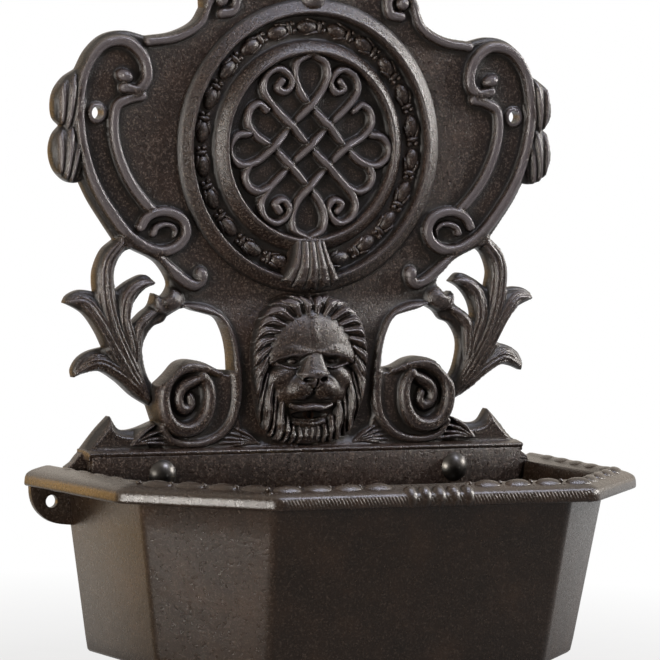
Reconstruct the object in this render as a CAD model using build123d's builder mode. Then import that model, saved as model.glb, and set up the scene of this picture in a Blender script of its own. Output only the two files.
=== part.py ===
from build123d import *
import os
from math import cos, radians, sin, tan

os.makedirs("parts", exist_ok=True)

# A cast-iron wall fountain: an ornamental back plate with a lion mask, over a half-octagon basin.
# X runs to the right and Z up. The wall is the plane Y = 0 and the front faces -Y.
# "Depth" below is the distance out of the wall, so a depth of d is the plane Y = -d.
# The origin is on the wall, midway between the two ear holes of the basin.

# Fixing holes in the wall plane
ear_spacing = 453.6
ear_hole_r = 5.25
ear_thickness = 6.0
# Outer edge of the right ear, from the rim's end down to the side wall, and its line inside that wall
ear_edge = ((246, 14), (245, 4), (242, -4), (235, -12), (225, -17.5), (203, -20.5))
ear_root = (209, 14)
plate_hole_spacing = 391.6
plate_hole_z = 316.8
plate_hole_r = 5.5
plate_boss_r = 9.5

# Basin
rim_half_width = 240.0
rim_depth = 249.0
rim_corner = 94.0
rim_splay = 9.0
wall_splay = -3.0
rim_top = 29.0
rim_height = 16.0
rim_overhang = 25.0
rim_dip = 6.0
rim_crest = 3.0
# Rim profile from the wall outwards and up: shares of the overhang and of the rim's height
rim_profile = ((0, -0.1), (0.97, 0), (1, 0.06), (0.985, 0.16), (0.91, 0.36), (0.72, 0.66), (0.5, 0.88), (0.25, 1))
basin_height = 154.0
basin_wall = 6.0
basin_floor = 7.0
wall_lean = 9.4
back_gap = 16.0
back_wall_top = 33.0

# Back plate
plate_back = 3.0
plate_front = 12.0
neck_front = 18.0
hollow_r = 110.0
hollow_depth = 4.0
ledge_top = 40.0
ledge_thickness = 6.0
ledge_half = 204.0
flange_half = 201.0
flange_thickness = 6.0
flange_bottom = 4.0
medallion_z = 291.0
wreath_r = 99.0
outer_ring_r = 117.0
inner_ring_r = 82.5
ring_half_width = 5.0
ring_rise = 9.0
wreath_half_width = 9.0
wreath_rise = 5.0
band_width = 8.0
band_rise = 5.0
scroll_front = 25.0
knot_rise = 6.0
knot_strand = 7.5
scroll_eye_r = 10.0
eye_rise = 4.0
volute_eye_half = (11.0, 8.0)
knob_r = 9.5
knob_rise = 7.0
leaf_rib = 4.0
leaf_rib_rise = 2.5
husk_rise = 4.0
drape_folds = 5
drape_top = 212.0
drape_hem = 178.0
drape_top_pitch = 6.0
drape_hem_pitch = 12.0
drape_overlap = 0.58
drape_rise = 9.0
crest_z = 418.0
crest_heart_r = 24.0
crest_lobes = 7
crest_lobe_ring = 30.0
crest_lobe_half = (22.0, 8.5)
crest_start = 12.0
crest_spread = 182.0
crest_rise = 3.0
crest_scroll_x = 84.0
crest_scroll_z = 410.0
crest_scroll_r = 17.0
mask_screw_x = 28.0
mask_screw_z = 122.0

# Fasteners
bolt_x = 137.4
bolt_z = 21.5
bolt_r = 5.0
bolt_head_r = 12.3
bolt_head_rise = 7.5
bolt_square = 10.0
bolt_washer_r = 10.0
bolt_washer_thickness = 2.0
bolt_nut_flats = 17.0
bolt_nut_thickness = 8.0
bolt_end = 1.5
screw_r = 3.0
screw_head_r = 5.5
screw_head_rise = 3.6
screw_depth = 7.0
clip_screw_r = 2.0
clip_screw_head_r = 3.5
clip_screw_head_rise = 2.4
clip_screw_depth = 4.5
hole_clearance = 0.4

# Water supply
pipe_r = 4.0
pipe_wall = 0.8
pipe_depth = 7.5
pipe_below = 25.0
spout_z = 68.0
spout_front = 23.5
elbow_r = 5.5
elbow_reach = 14.0
elbow_socket = 10.0
pipe_nut_flats = 13.0
pipe_nut_length = 10.0
inlet_thread_r = 6.5
inlet_thread = 12.0
inlet_flats = 14.0
inlet_hex = 9.0
channel_half = 9.5
channel_depth = 14.5
grommet_flange_r = 8.0
grommet_flange = 2.0
clip_thickness = 1.5
clip_foot = 9.6
clip_width = 11.0
clip_heights = (-32.0, -96.0)
fit_gap = 0.05

# Drain and lift-out overflow
drain_depth = 60.0
drain_tail_r = 17.0
drain_bore_r = 12.0
drain_flange_r = 26.0
drain_flange_thickness = 4.0
drain_tail = 22.0
drain_outlet_r = 16.0
drain_outlet = 16.0
gasket_thickness = 2.0
drain_nut_flats = 46.0
drain_nut_thickness = 9.0
overflow_r = 10.0
overflow_wall = 1.5
overflow_height = 86.0
overflow_plug = 14.0
overflow_collar_r = 16.0
overflow_collar = 3.0
seal_thickness = 2.4
strainer_r = 14.0
strainer_height = 16.0
strainer_wall = 1.6
strainer_seat = 5.0
strainer_slots = 8
strainer_slot_width = 3.0

# Places worked out from the sizes above
rim_bottom = rim_top - rim_height
basin_bottom = rim_top - basin_height
floor_top = basin_bottom + basin_floor
lean = tan(radians(wall_lean))
flange_back = back_gap + basin_wall
flange_front = flange_back + flange_thickness
ear_x = ear_spacing / 2
plate_hole_x = plate_hole_spacing / 2


def front_plane(depth):
    return Plane.XZ.offset(depth)


def octagon(inset, splay, back):
    # The basin's plan: straight sides from the wall, 45 degree corners and a straight front.
    slip = inset * tan(radians(22.5))
    side = rim_half_width - inset
    corner_x = rim_half_width - rim_corner - slip
    corner_y = rim_depth - rim_corner - slip
    rear_side = side + splay * (corner_y - back) / (rim_depth - rim_corner)
    right = [(rear_side, -back), (side, -corner_y), (corner_x, inset - rim_depth)]
    left = [(-x, y) for x, y in reversed(right)]
    return right + left


def wall_inset(z):
    return rim_overhang + (rim_bottom - z) * lean


def plan_sketch(z, inset, splay, back):
    with BuildSketch(Plane.XY.offset(z)) as plan:
        with BuildLine():
            Polyline(*octagon(inset, splay, back), close=True)
        make_face()
    return plan.sketch


def ridge(points, width, low, high):
    # A raised strip of even width along a smooth line.
    with BuildSketch(front_plane(low)) as strip:
        with BuildLine():
            Spline(*points)
        trace(line_width=width)
    extrude(strip.sketch, amount=high - low)


def curl(center, start_r, end_r, start_angle, turn, steps):
    # Points of a spiral that winds from start_r to end_r about its eye.
    points = []
    for step in range(steps + 1):
        share = step / steps
        r = start_r + (end_r - start_r) * share
        angle = radians(start_angle + turn * share)
        points.append((center[0] + r * cos(angle), center[1] + r * sin(angle)))
    return points


# Back plate: one sheet with its scrollwork cut out, drawn as its right half and mirrored
volute_eye = (136.0, 220.0)
upper_eye = (174.0, 346.0)
scroll_eye = (119.0, 83.0)
leaf_junction = (176.0, 214.0)
stem_foot = (143.0, 77.0)
opening_foot = (139.0, 93.0)
# Strands of the knot, from the medallion's centre: the diagonal, the curl, the loop and the lower curl
knot_strands = (
    [(-24, 45), (-18, 52), (-22, 60), (-31, 64), (-41, 59), (-44.5, 49), (-41, 40), (-19, 18), (0, 0), (19, -18),
     (41, -40), (44.5, -49), (41, -59), (31, -64), (22, -60), (18, -52), (24, -45)],
    [(41, 30), (48, 34.5), (56, 30), (58, 19), (50.5, 8.5), (34, -1), (17, -17.5), (0, -34), (-11, -47), (-15.5, -59),
     (-13, -70), (0, -77)],
    [(0, 77), (-13, 70), (-15.5, 59), (-11, 47), (0, 34), (17, 17), (34, -0.5), (49, -13), (63, -16), (73, -9.5),
     (74.5, 0), (68, 8), (57, 10)],
    [(56, -16), (60, -25), (56, -34), (46, -38), (38, -35)],
)

with BuildPart() as back_plate:
    with BuildSketch(front_plane(plate_back)):
        with BuildLine():
            Line((0, ledge_top), (ledge_half, ledge_top))
            Spline((ledge_half, ledge_top), (189, 57), (178, 69))
            Spline((178, 69), (170, 58), (154, 58), (138, 64))
            Line((138, 64), stem_foot)
            Spline(stem_foot, (165, 92), (186, 106), (202, 104), (211, 101))
            Spline((211, 101), (208, 115), (198, 122), (184, 126))
            Spline((184, 126), (196, 147), (208, 158), (220.5, 162))
            Spline((220.5, 162), (214, 170), (204, 172.5), (193, 171))
            Spline((193, 171), (193, 190), (186, 206), leaf_junction)
            Spline(leaf_junction, (199, 245), (213, 280), (219, 318), (211, 357), (184, 383), (152, 380))
            Spline((152, 380), (124, 385), (96, 402), (86, 420))
            Spline((86, 420), (60, 424), (0, 428))
            Line((0, 428), (0, ledge_top))
        make_face()
        with BuildLine():
            Spline((69, 105), (72.5, 129), (82, 148.5), (97, 152.5), (113, 158.5))
            Spline((113, 158.5), (128, 151), (140, 142), (148.5, 124), (145, 103), opening_foot)
            Spline(opening_foot, (128, 102), (110, 114.5), (90, 109), (69, 105))
        make_face(mode=Mode.SUBTRACT)
        with BuildLine():
            Spline((163, 206.5), (175, 194), (176.5, 180), (174.5, 171.5))
            Spline((174.5, 171.5), (160, 181), (147, 184.5), (139, 177.5))
            Spline((139, 177.5), (154, 168), (161, 155), (161, 143.5))
            Spline((161, 143.5), (150, 154), (143, 161), (140, 169.5))
            Spline((140, 169.5), (128, 170), (127, 181), (138, 195), (163, 206.5))
        make_face(mode=Mode.SUBTRACT)
    extrude(amount=plate_front - plate_back)

    # Raised neck behind the mask, with its flared top
    with BuildSketch(front_plane(plate_back)):
        with BuildLine():
            Polyline((0, 168), (0, ledge_top), (66, ledge_top), (66, 100))
            Spline((66, 100), (69, 125), (79, 147), (100, 153))
            Line((100, 153), (100, 158))
            Spline((100, 158), (60, 161), (0, 168))
        make_face()
    extrude(amount=neck_front - plate_back)

    # Standing scroll beside the neck, its coil, and the band that climbs the neck
    with BuildSketch(front_plane(plate_back)):
        with BuildLine():
            Spline((62, ledge_top), (66, 85), (72, 103), (92, 110), (110, 114.5), (128, 102), (141, 82), (137, 60))
            Line((137, 60), (128, ledge_top))
            Line((128, ledge_top), (62, ledge_top))
        make_face()
    extrude(amount=scroll_front - plate_back - band_rise)
    ridge([(110, 155.5), (86, 149.5), (71, 127), (66, 97), (70, 65), (84, 51)], band_width,
          plate_front, scroll_front - band_rise / 2)
    ridge([(84, 51), (100, 46.5), (118, 47.5), (131, 56), (137, 70), (135, 86), (126, 100), (112, 106.5)],
          band_width, plate_front, scroll_front)
    ridge([(112, 106.5), (99, 103), (93, 92), (94, 78), (103, 66.5), (116, 63), (128, 68)],
          band_width, plate_front, scroll_front)
    with BuildSketch(front_plane(plate_front)):
        with Locations(scroll_eye):
            Circle(scroll_eye_r)
    extrude(amount=scroll_front - plate_front + eye_rise)

    # C-scroll at the side: two bands with a channel between, and a volute at each end
    ridge([(206, 352), (212.5, 320), (206, 280), (192, 250), (166, 218), (138, 204), (117, 211), (115, 226)],
          band_width, plate_front, plate_front + band_rise)
    ridge([(115, 222), (122, 234), (138, 237), (152, 229)], band_width, plate_front, plate_front + band_rise)
    ridge([(170, 322), (180, 318), (178, 290), (167, 263), (144, 236)], band_width,
          plate_front, plate_front + band_rise)
    ridge(curl(upper_eye, 33, 11, 60, 430, 14), band_width, plate_front, plate_front + band_rise)
    for eye in (volute_eye, upper_eye):
        with BuildSketch(front_plane(plate_front)):
            with Locations(eye):
                Ellipse(*volute_eye_half)
        extrude(amount=knob_rise)
    ridge([(164, 209), (138, 198), (118, 184), (108, 174)], band_width, plate_front, plate_front + band_rise)
    with BuildSketch(front_plane(plate_front)):
        with Locations((102, 181)):
            Circle(knob_r)
    extrude(amount=knob_rise)

    # Acanthus leaf: the main ribs of its blades
    leaf_front = plate_front + leaf_rib_rise
    ridge([(147, 88), (172, 108), (190, 113), (205, 107)], leaf_rib, plate_front, leaf_front)
    ridge([(147, 88), (176, 124), (194, 152), (212, 164)], leaf_rib, plate_front, leaf_front)
    ridge([(150, 92), (178, 140), (184, 178), (182, 198), (172, 208)], leaf_rib, plate_front, leaf_front)
    ridge([(166, 150), (162, 168), (152, 177), (144, 179)], leaf_rib, plate_front, leaf_front)

    # Husk drop that hangs outside the upper volute
    with BuildSketch(front_plane(plate_back)):
        with BuildLine():
            Spline((206, 352), (230, 340), (233, 318), (225, 306))
            Spline((225, 306), (235, 290), (230, 270), (218, 261))
            Spline((218, 261), (206, 290), (206, 352))
        make_face()
    extrude(amount=plate_front + husk_rise - plate_back)

    # Boss and hole of the upper wall screw
    with BuildSketch(front_plane(0)):
        with Locations((plate_hole_x, plate_hole_z)):
            Circle(plate_boss_r)
    extrude(amount=plate_front + 2)
    with BuildSketch(front_plane(0)):
        with Locations((plate_hole_x, plate_hole_z)):
            Circle(plate_hole_r)
    extrude(amount=scroll_front, mode=Mode.SUBTRACT)

    mirror(about=Plane.YZ)

    # Medallion: outer ring, husk wreath as a round bead, and inner ring, turned about the centre
    with BuildSketch(Plane.YZ):
        for ring_r, half, rise in (
            (outer_ring_r, ring_half_width, ring_rise),
            (wreath_r, wreath_half_width, wreath_rise),
            (inner_ring_r, ring_half_width, ring_rise),
        ):
            with BuildLine():
                low_end = (1 - plate_front, medallion_z + ring_r - half)
                high_end = (1 - plate_front, medallion_z + ring_r + half)
                Line(low_end, high_end)
                ThreePointArc(high_end, (-plate_front - rise, medallion_z + ring_r), low_end)
            make_face()
    revolve(axis=Axis((0, 0, medallion_z), (0, 1, 0)), revolution_arc=360)

    # Interlaced knot in the medallion: each strand and its mirror image
    for strand in knot_strands:
        for side in (1, -1):
            ridge([(side * x, medallion_z + z) for x, z in strand], knot_strand,
                  plate_front - 1, plate_front + knot_rise)

    # Gathered drapery below the medallion, highest at its middle fold
    for fold in range(drape_folds):
        place = fold - (drape_folds - 1) / 2
        top_x = place * drape_top_pitch
        hem_x = place * drape_hem_pitch
        top_half = drape_overlap * drape_top_pitch
        hem_half = drape_overlap * drape_hem_pitch
        with BuildSketch(front_plane(plate_front - 1)):
            with BuildLine():
                Polyline((top_x - top_half, drape_top), (top_x + top_half, drape_top), (hem_x + hem_half, drape_hem),
                         (hem_x, drape_hem - 4), (hem_x - hem_half, drape_hem), close=True)
            make_face()
        extrude(amount=drape_rise - abs(place))

    # Crest: a palmette of rounded lobes between two small scrolls
    with BuildSketch(front_plane(plate_back)):
        with Locations((0, crest_z)):
            Circle(crest_heart_r)
            with PolarLocations(crest_lobe_ring, crest_lobes, start_angle=crest_start, angular_range=crest_spread):
                Ellipse(*crest_lobe_half)
    extrude(amount=plate_front + crest_rise - plate_back)
    with BuildSketch(front_plane(plate_back)):
        with Locations((crest_scroll_x, crest_scroll_z), (-crest_scroll_x, crest_scroll_z)):
            Circle(crest_scroll_r)
    extrude(amount=plate_front + husk_rise - plate_back)

    # Ledge along the foot, and the flange that hangs from it inside the basin
    with BuildSketch(Plane.YZ.offset(-ledge_half)):
        with BuildLine():
            Polyline((-plate_back, ledge_top + 3), (-plate_back, ledge_top - ledge_thickness),
                     (-flange_front, ledge_top - ledge_thickness), (-flange_front, ledge_top - 2),
                     (2 - flange_front, ledge_top), (-plate_front, ledge_top + 3), close=True)
        make_face()
    extrude(amount=2 * ledge_half)
    with BuildSketch(front_plane(flange_back)):
        with BuildLine():
            Polyline((-flange_half, ledge_top - 2), (flange_half, ledge_top - 2), (flange_half, flange_bottom),
                     (-flange_half, flange_bottom), close=True)
        make_face()
    extrude(amount=flange_thickness)

    # Square holes for the bolts' necks, the pipe channel and the pocket behind the mask
    with BuildSketch(front_plane(flange_back - 1)):
        with Locations((bolt_x, bolt_z), (-bolt_x, bolt_z)):
            Rectangle(bolt_square + 2 * hole_clearance, bolt_square + 2 * hole_clearance)
    extrude(amount=flange_thickness + 2, mode=Mode.SUBTRACT)
    channel_top = spout_z + elbow_r + 6
    with BuildSketch(front_plane(0)):
        with Locations((0, (channel_top + ledge_top) / 2 - ledge_thickness)):
            Rectangle(2 * channel_half, channel_top - ledge_top + 2 * ledge_thickness)
    extrude(amount=channel_depth, mode=Mode.SUBTRACT)
    with BuildSketch(front_plane(0)):
        with Locations((0, spout_z)):
            Circle(grommet_flange_r + hole_clearance)
    extrude(amount=neck_front + 1, mode=Mode.SUBTRACT)

    # Cast hollow behind the medallion
    with BuildSketch(front_plane(plate_back)):
        with Locations((0, medallion_z)):
            Circle(hollow_r)
    extrude(amount=hollow_depth, mode=Mode.SUBTRACT)

    # Counterbored holes for the screws that hold the mask from behind
    screw_seat = plate_back + screw_head_rise + 2
    with BuildSketch(front_plane(0)):
        with Locations((mask_screw_x, mask_screw_z), (-mask_screw_x, mask_screw_z)):
            Circle(screw_head_r + hole_clearance)
    extrude(amount=screw_seat, mode=Mode.SUBTRACT)
    with BuildSketch(front_plane(0)):
        with Locations((mask_screw_x, mask_screw_z), (-mask_screw_x, mask_screw_z)):
            Circle(screw_r + hole_clearance)
    extrude(amount=neck_front + 1, mode=Mode.SUBTRACT)
back_plate.part.label = "back_plate"
export_step(back_plate.part, "parts/back_plate.step")


# Lion mask: mane, brow, cheeks, nose, muzzle and chin in low relief, on the neck
mask_back = neck_front
mane_front = mask_back + 6
mouth_floor = spout_front - 4


def boss(center, size):
    # A rounded boss: a sphere stretched to three half-sizes.
    return Pos(*center) * scale(Sphere(1), by=size)


face_bosses = [
    boss((0, -mane_front, 104), (40, 5, 46)),
    boss((0, -mane_front, 133), (35, 8, 17)),
    boss((0, -mane_front - 2, 112), (7, 10, 17)),
    boss((22, -mane_front, 105), (16, 7, 13)),
    boss((-22, -mane_front, 105), (16, 7, 13)),
    boss((11, -mane_front - 1, 89), (14, 9, 11)),
    boss((-11, -mane_front - 1, 89), (14, 9, 11)),
    boss((0, -mane_front - 2, 105), (11, 9, 6)),
    boss((0, -mane_front, 75), (20, 7, 4.5)),
    boss((0, -mane_front, 57), (18, 6, 9)),
]

with BuildPart() as lion_mask:
    with BuildSketch(front_plane(mask_back)):
        with BuildLine():
            Line((0, ledge_top + 6), (0, 166))
            Spline((0, 166), (28, 164), (46, 149), (54, 122), (52, 92), (43, 62), (28, 48), (0, ledge_top + 6))
        make_face()
    extrude(amount=mane_front - mask_back)
    mirror(about=Plane.YZ)
    add(face_bosses)
    split(bisect_by=front_plane(mask_back), keep=Keep.TOP)
    # Mouth, and the hole behind it for the spout's grommet
    with BuildSketch(front_plane(mouth_floor)):
        with Locations((0, spout_z)):
            SlotOverall(30, 8)
    extrude(amount=4 * scroll_front, mode=Mode.SUBTRACT)
    with BuildSketch(front_plane(mask_back)):
        with Locations((0, spout_z)):
            Circle(pipe_r + fit_gap)
    extrude(amount=mane_front, mode=Mode.SUBTRACT)
    with BuildSketch(front_plane(mask_back)):
        with Locations((mask_screw_x, mask_screw_z), (-mask_screw_x, mask_screw_z)):
            Circle(screw_r + fit_gap)
    extrude(amount=screw_depth + hole_clearance, mode=Mode.SUBTRACT)
lion_mask.part.label = "lion_mask"
export_step(lion_mask.part, "parts/lion_mask.step")

# Two pan-head screws through the neck into the back of the mask
with BuildPart() as mask_screws:
    with BuildSketch(front_plane(screw_seat - screw_head_rise)):
        with Locations((mask_screw_x, mask_screw_z), (-mask_screw_x, mask_screw_z)):
            Circle(screw_head_r)
    extrude(amount=screw_head_rise)
    with BuildSketch(front_plane(screw_seat)):
        with Locations((mask_screw_x, mask_screw_z), (-mask_screw_x, mask_screw_z)):
            Circle(screw_r)
    extrude(amount=mask_back + screw_depth - screw_seat)
mask_screws.part.label = "mask_screws"
export_step(mask_screws.part, "parts/mask_screws.step")


# Basin: leaning walls on a half-octagon plan, a flared moulded rim and two ears
with BuildPart() as basin:
    wall_top = rim_bottom + rim_profile[0][1] * rim_height
    levels = [(basin_bottom, wall_inset(basin_bottom), wall_splay), (wall_top, wall_inset(wall_top), wall_splay)]
    for reach, rise in rim_profile[1:]:
        levels.append((rim_bottom + rise * rim_height, rim_overhang * (1 - reach), rim_splay))
    for low, high in zip(levels, levels[1:]):
        loft([plan_sketch(*low, 0), plan_sketch(*high, 0)], ruled=True)

    # Bowl, opening out over the inside of the rim
    bowl_back = back_gap + basin_wall
    lip_z = rim_top - rim_dip
    lip_inset = wall_inset(lip_z) + basin_wall
    loft([plan_sketch(floor_top, wall_inset(floor_top) + basin_wall, wall_splay, bowl_back),
          plan_sketch(lip_z, lip_inset, wall_splay, bowl_back)], ruled=True, mode=Mode.SUBTRACT)
    crest_inset = levels[-1][1] + rim_crest
    loft([plan_sketch(lip_z, lip_inset, wall_splay, bowl_back),
          plan_sketch(rim_top, crest_inset, rim_splay, bowl_back)], ruled=True, mode=Mode.SUBTRACT)

    # Hollow behind the back wall for the nuts and the pipe
    with BuildSketch(front_plane(-1)):
        with BuildLine():
            low_x = octagon(wall_inset(basin_bottom) + basin_wall, wall_splay, 0)[0][0]
            high_x = octagon(lip_inset, wall_splay, 0)[0][0]
            Polyline((-low_x, basin_bottom - 1), (low_x, basin_bottom - 1), (high_x, lip_z), (high_x, rim_top + 1),
                     (-high_x, rim_top + 1), (-high_x, lip_z), close=True)
        make_face()
    extrude(amount=back_gap + 1, mode=Mode.SUBTRACT)

    # Back wall raised to the ledge, where the plate's flange is bolted on
    with BuildSketch(front_plane(back_gap)):
        with BuildLine():
            Polyline((-flange_half, rim_bottom), (flange_half, rim_bottom), (flange_half, back_wall_top),
                     (-flange_half, back_wall_top), close=True)
        make_face()
    extrude(amount=basin_wall)

    # Ears against the wall, from the rim's ends down to the side walls
    for side in (1, -1):
        with BuildSketch(Plane.XZ):
            with BuildLine():
                edge = [(side * x, z) for x, z in ear_edge]
                root = (side * ear_root[0], ear_root[1])
                Spline(*edge)
                Polyline(edge[-1], root, edge[0])
            make_face()
        extrude(amount=ear_thickness)
    with BuildSketch(Plane.XZ):
        with Locations((ear_x, 0), (-ear_x, 0)):
            Circle(ear_hole_r)
    extrude(amount=ear_thickness + 1, mode=Mode.SUBTRACT)

    # Bolt holes, drain hole and tapped holes for the pipe clips
    with BuildSketch(front_plane(back_gap - 1)):
        with Locations((bolt_x, bolt_z), (-bolt_x, bolt_z)):
            Circle(bolt_r + hole_clearance)
    extrude(amount=basin_wall + 2, mode=Mode.SUBTRACT)
    with BuildSketch(Plane.XY.offset(basin_bottom - 1)):
        with Locations((0, -drain_depth)):
            Circle(drain_tail_r + hole_clearance)
    extrude(amount=basin_floor + 2, mode=Mode.SUBTRACT)
    with BuildSketch(front_plane(back_gap)):
        for height in clip_heights:
            with Locations((clip_foot, height), (-clip_foot, height)):
                Circle(clip_screw_r + fit_gap)
    extrude(amount=clip_screw_depth + hole_clearance, mode=Mode.SUBTRACT)
basin.part.label = "basin"
export_step(basin.part, "parts/basin.step")

# Two carriage bolts: domed head, square neck in the flange, round shank through the back wall
bolt_places = ((bolt_x, bolt_z), (-bolt_x, bolt_z))
washer_back = back_gap - bolt_washer_thickness
nut_back = washer_back - bolt_nut_thickness
bolt_tip = nut_back - bolt_end
dome_r = (bolt_head_r**2 + bolt_head_rise**2) / (2 * bolt_head_rise)
with BuildPart() as basin_bolts:
    for x, z in bolt_places:
        with BuildSketch(Plane.YZ.offset(x)):
            with BuildLine():
                Line((-flange_front, z), (-flange_front, z + bolt_head_r))
                RadiusArc((-flange_front, z + bolt_head_r), (-flange_front - bolt_head_rise, z), -dome_r)
                Line((-flange_front - bolt_head_rise, z), (-flange_front, z))
            make_face()
        revolve(axis=Axis((x, 0, z), (0, 1, 0)))
    with BuildSketch(front_plane(flange_back)):
        with Locations(*bolt_places):
            Rectangle(bolt_square, bolt_square)
    extrude(amount=flange_thickness)
    with BuildSketch(front_plane(bolt_tip)):
        with Locations(*bolt_places):
            Circle(bolt_r)
    extrude(amount=flange_back - bolt_tip)
basin_bolts.part.label = "basin_bolts"
export_step(basin_bolts.part, "parts/basin_bolts.step")

with BuildPart() as bolt_washers:
    with BuildSketch(front_plane(washer_back)):
        with Locations(*bolt_places):
            Circle(bolt_washer_r)
            Circle(bolt_r + hole_clearance, mode=Mode.SUBTRACT)
    extrude(amount=bolt_washer_thickness)
bolt_washers.part.label = "bolt_washers"
export_step(bolt_washers.part, "parts/bolt_washers.step")

with BuildPart() as bolt_nuts:
    with BuildSketch(front_plane(nut_back)):
        with Locations(*bolt_places):
            RegularPolygon(bolt_nut_flats / 2, 6, major_radius=False)
            Circle(bolt_r + fit_gap, mode=Mode.SUBTRACT)
    extrude(amount=bolt_nut_thickness)
bolt_nuts.part.label = "bolt_nuts"
export_step(bolt_nuts.part, "parts/bolt_nuts.step")


# Copper pipe up the back, elbow behind the mask, and the short spout into the mouth
pipe_top = spout_z - pipe_r - 1
pipe_bottom = basin_bottom - pipe_below
with BuildPart() as supply_pipe:
    with BuildSketch(Plane.XY.offset(pipe_bottom)):
        with Locations((0, -pipe_depth)):
            Circle(pipe_r)
            Circle(pipe_r - pipe_wall, mode=Mode.SUBTRACT)
    extrude(amount=pipe_top - pipe_bottom)
supply_pipe.part.label = "supply_pipe"
export_step(supply_pipe.part, "parts/supply_pipe.step")

elbow_foot = pipe_top - elbow_socket
with BuildPart() as inlet_elbow:
    with BuildSketch(Plane.XY.offset(elbow_foot)):
        with Locations((0, -pipe_depth)):
            Circle(elbow_r)
    extrude(amount=spout_z + elbow_r - elbow_foot)
    with BuildSketch(front_plane(pipe_depth)):
        with Locations((0, spout_z)):
            Circle(elbow_r)
    extrude(amount=elbow_reach - pipe_depth)
    with BuildSketch(Plane.XY.offset(elbow_foot)):
        with Locations((0, -pipe_depth)):
            Circle(pipe_r + fit_gap)
    extrude(amount=elbow_socket, mode=Mode.SUBTRACT)
    with BuildSketch(Plane.XY.offset(elbow_foot)):
        with Locations((0, -pipe_depth)):
            Circle(pipe_r - pipe_wall)
    extrude(amount=spout_z - elbow_foot, mode=Mode.SUBTRACT)
    with BuildSketch(front_plane(pipe_depth)):
        with Locations((0, spout_z)):
            Circle(pipe_r + fit_gap)
    extrude(amount=elbow_reach, mode=Mode.SUBTRACT)
inlet_elbow.part.label = "inlet_elbow"
export_step(inlet_elbow.part, "parts/inlet_elbow.step")

nut_top = elbow_foot
with BuildPart() as pipe_nut:
    with BuildSketch(Plane.XY.offset(nut_top - pipe_nut_length)):
        with Locations((0, -pipe_depth)):
            RegularPolygon(pipe_nut_flats / 2, 6, major_radius=False)
            Circle(pipe_r + fit_gap, mode=Mode.SUBTRACT)
    extrude(amount=pipe_nut_length)
pipe_nut.part.label = "pipe_nut"
export_step(pipe_nut.part, "parts/pipe_nut.step")

# Threaded inlet at the pipe's lower end
with BuildPart() as inlet_fitting:
    with BuildSketch(Plane.XY.offset(pipe_bottom)):
        with Locations((0, -pipe_depth)):
            RegularPolygon(inlet_flats / 2, 6, major_radius=False)
            Circle(pipe_r + fit_gap, mode=Mode.SUBTRACT)
    extrude(amount=inlet_hex)
    with BuildSketch(Plane.XY.offset(pipe_bottom - inlet_thread)):
        with Locations((0, -pipe_depth)):
            Circle(inlet_thread_r)
            Circle(pipe_r - pipe_wall, mode=Mode.SUBTRACT)
    extrude(amount=inlet_thread)
inlet_fitting.part.label = "inlet_fitting"
export_step(inlet_fitting.part, "parts/inlet_fitting.step")

with BuildPart() as spout_tube:
    with BuildSketch(front_plane(pipe_depth)):
        with Locations((0, spout_z)):
            Circle(pipe_r)
            Circle(pipe_r - pipe_wall, mode=Mode.SUBTRACT)
    extrude(amount=spout_front - pipe_depth)
spout_tube.part.label = "spout_tube"
export_step(spout_tube.part, "parts/spout_tube.step")

with BuildPart() as spout_grommet:
    with BuildSketch(front_plane(mask_back - grommet_flange)):
        with Locations((0, spout_z)):
            Circle(grommet_flange_r)
            Circle(pipe_r + fit_gap, mode=Mode.SUBTRACT)
    extrude(amount=grommet_flange)
spout_grommet.part.label = "spout_grommet"
export_step(spout_grommet.part, "parts/spout_grommet.step")

# Saddle clips that hold the pipe to the back of the basin
with BuildPart() as pipe_clips:
    for height in clip_heights:
        with BuildSketch(Plane.XY.offset(height - clip_width / 2)):
            with Locations((0, -pipe_depth)):
                Circle(pipe_r + clip_thickness + fit_gap)
            with Locations((0, -(pipe_depth + back_gap) / 2)):
                Rectangle(2 * (pipe_r + clip_thickness + fit_gap), back_gap - pipe_depth)
            with Locations((0, clip_thickness / 2 - back_gap)):
                Rectangle(2 * (clip_foot + clip_screw_head_r + 1), clip_thickness)
            with Locations((0, -pipe_depth)):
                Circle(pipe_r + fit_gap, mode=Mode.SUBTRACT)
            with Locations((0, -(pipe_depth + back_gap + 1) / 2)):
                Rectangle(2 * (pipe_r + fit_gap), back_gap - pipe_depth + 1, mode=Mode.SUBTRACT)
        extrude(amount=clip_width)
    with BuildSketch(front_plane(0)):
        for height in clip_heights:
            with Locations((clip_foot, height), (-clip_foot, height)):
                Circle(clip_screw_r + hole_clearance)
    extrude(amount=back_gap, mode=Mode.SUBTRACT)
pipe_clips.part.label = "pipe_clips"
export_step(pipe_clips.part, "parts/pipe_clips.step")

clip_face = back_gap - clip_thickness
with BuildPart() as clip_screws:
    for height in clip_heights:
        with BuildSketch(front_plane(clip_face - clip_screw_head_rise)):
            with Locations((clip_foot, height), (-clip_foot, height)):
                Circle(clip_screw_head_r)
        extrude(amount=clip_screw_head_rise)
        with BuildSketch(front_plane(clip_face)):
            with Locations((clip_foot, height), (-clip_foot, height)):
                Circle(clip_screw_r)
        extrude(amount=clip_thickness + clip_screw_depth)
clip_screws.part.label = "clip_screws"
export_step(clip_screws.part, "parts/clip_screws.step")


# Drain in the floor: gasket, flanged tail, fibre washer and back nut
def drain_plane(z):
    return Plane((0, -drain_depth, z))


flange_seat = floor_top + gasket_thickness
flange_top = flange_seat + drain_flange_thickness
with BuildPart() as drain_gasket:
    with BuildSketch(drain_plane(floor_top)):
        Circle(drain_flange_r)
        Circle(drain_tail_r + hole_clearance, mode=Mode.SUBTRACT)
    extrude(amount=gasket_thickness)
drain_gasket.part.label = "drain_gasket"
export_step(drain_gasket.part, "parts/drain_gasket.step")

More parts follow.
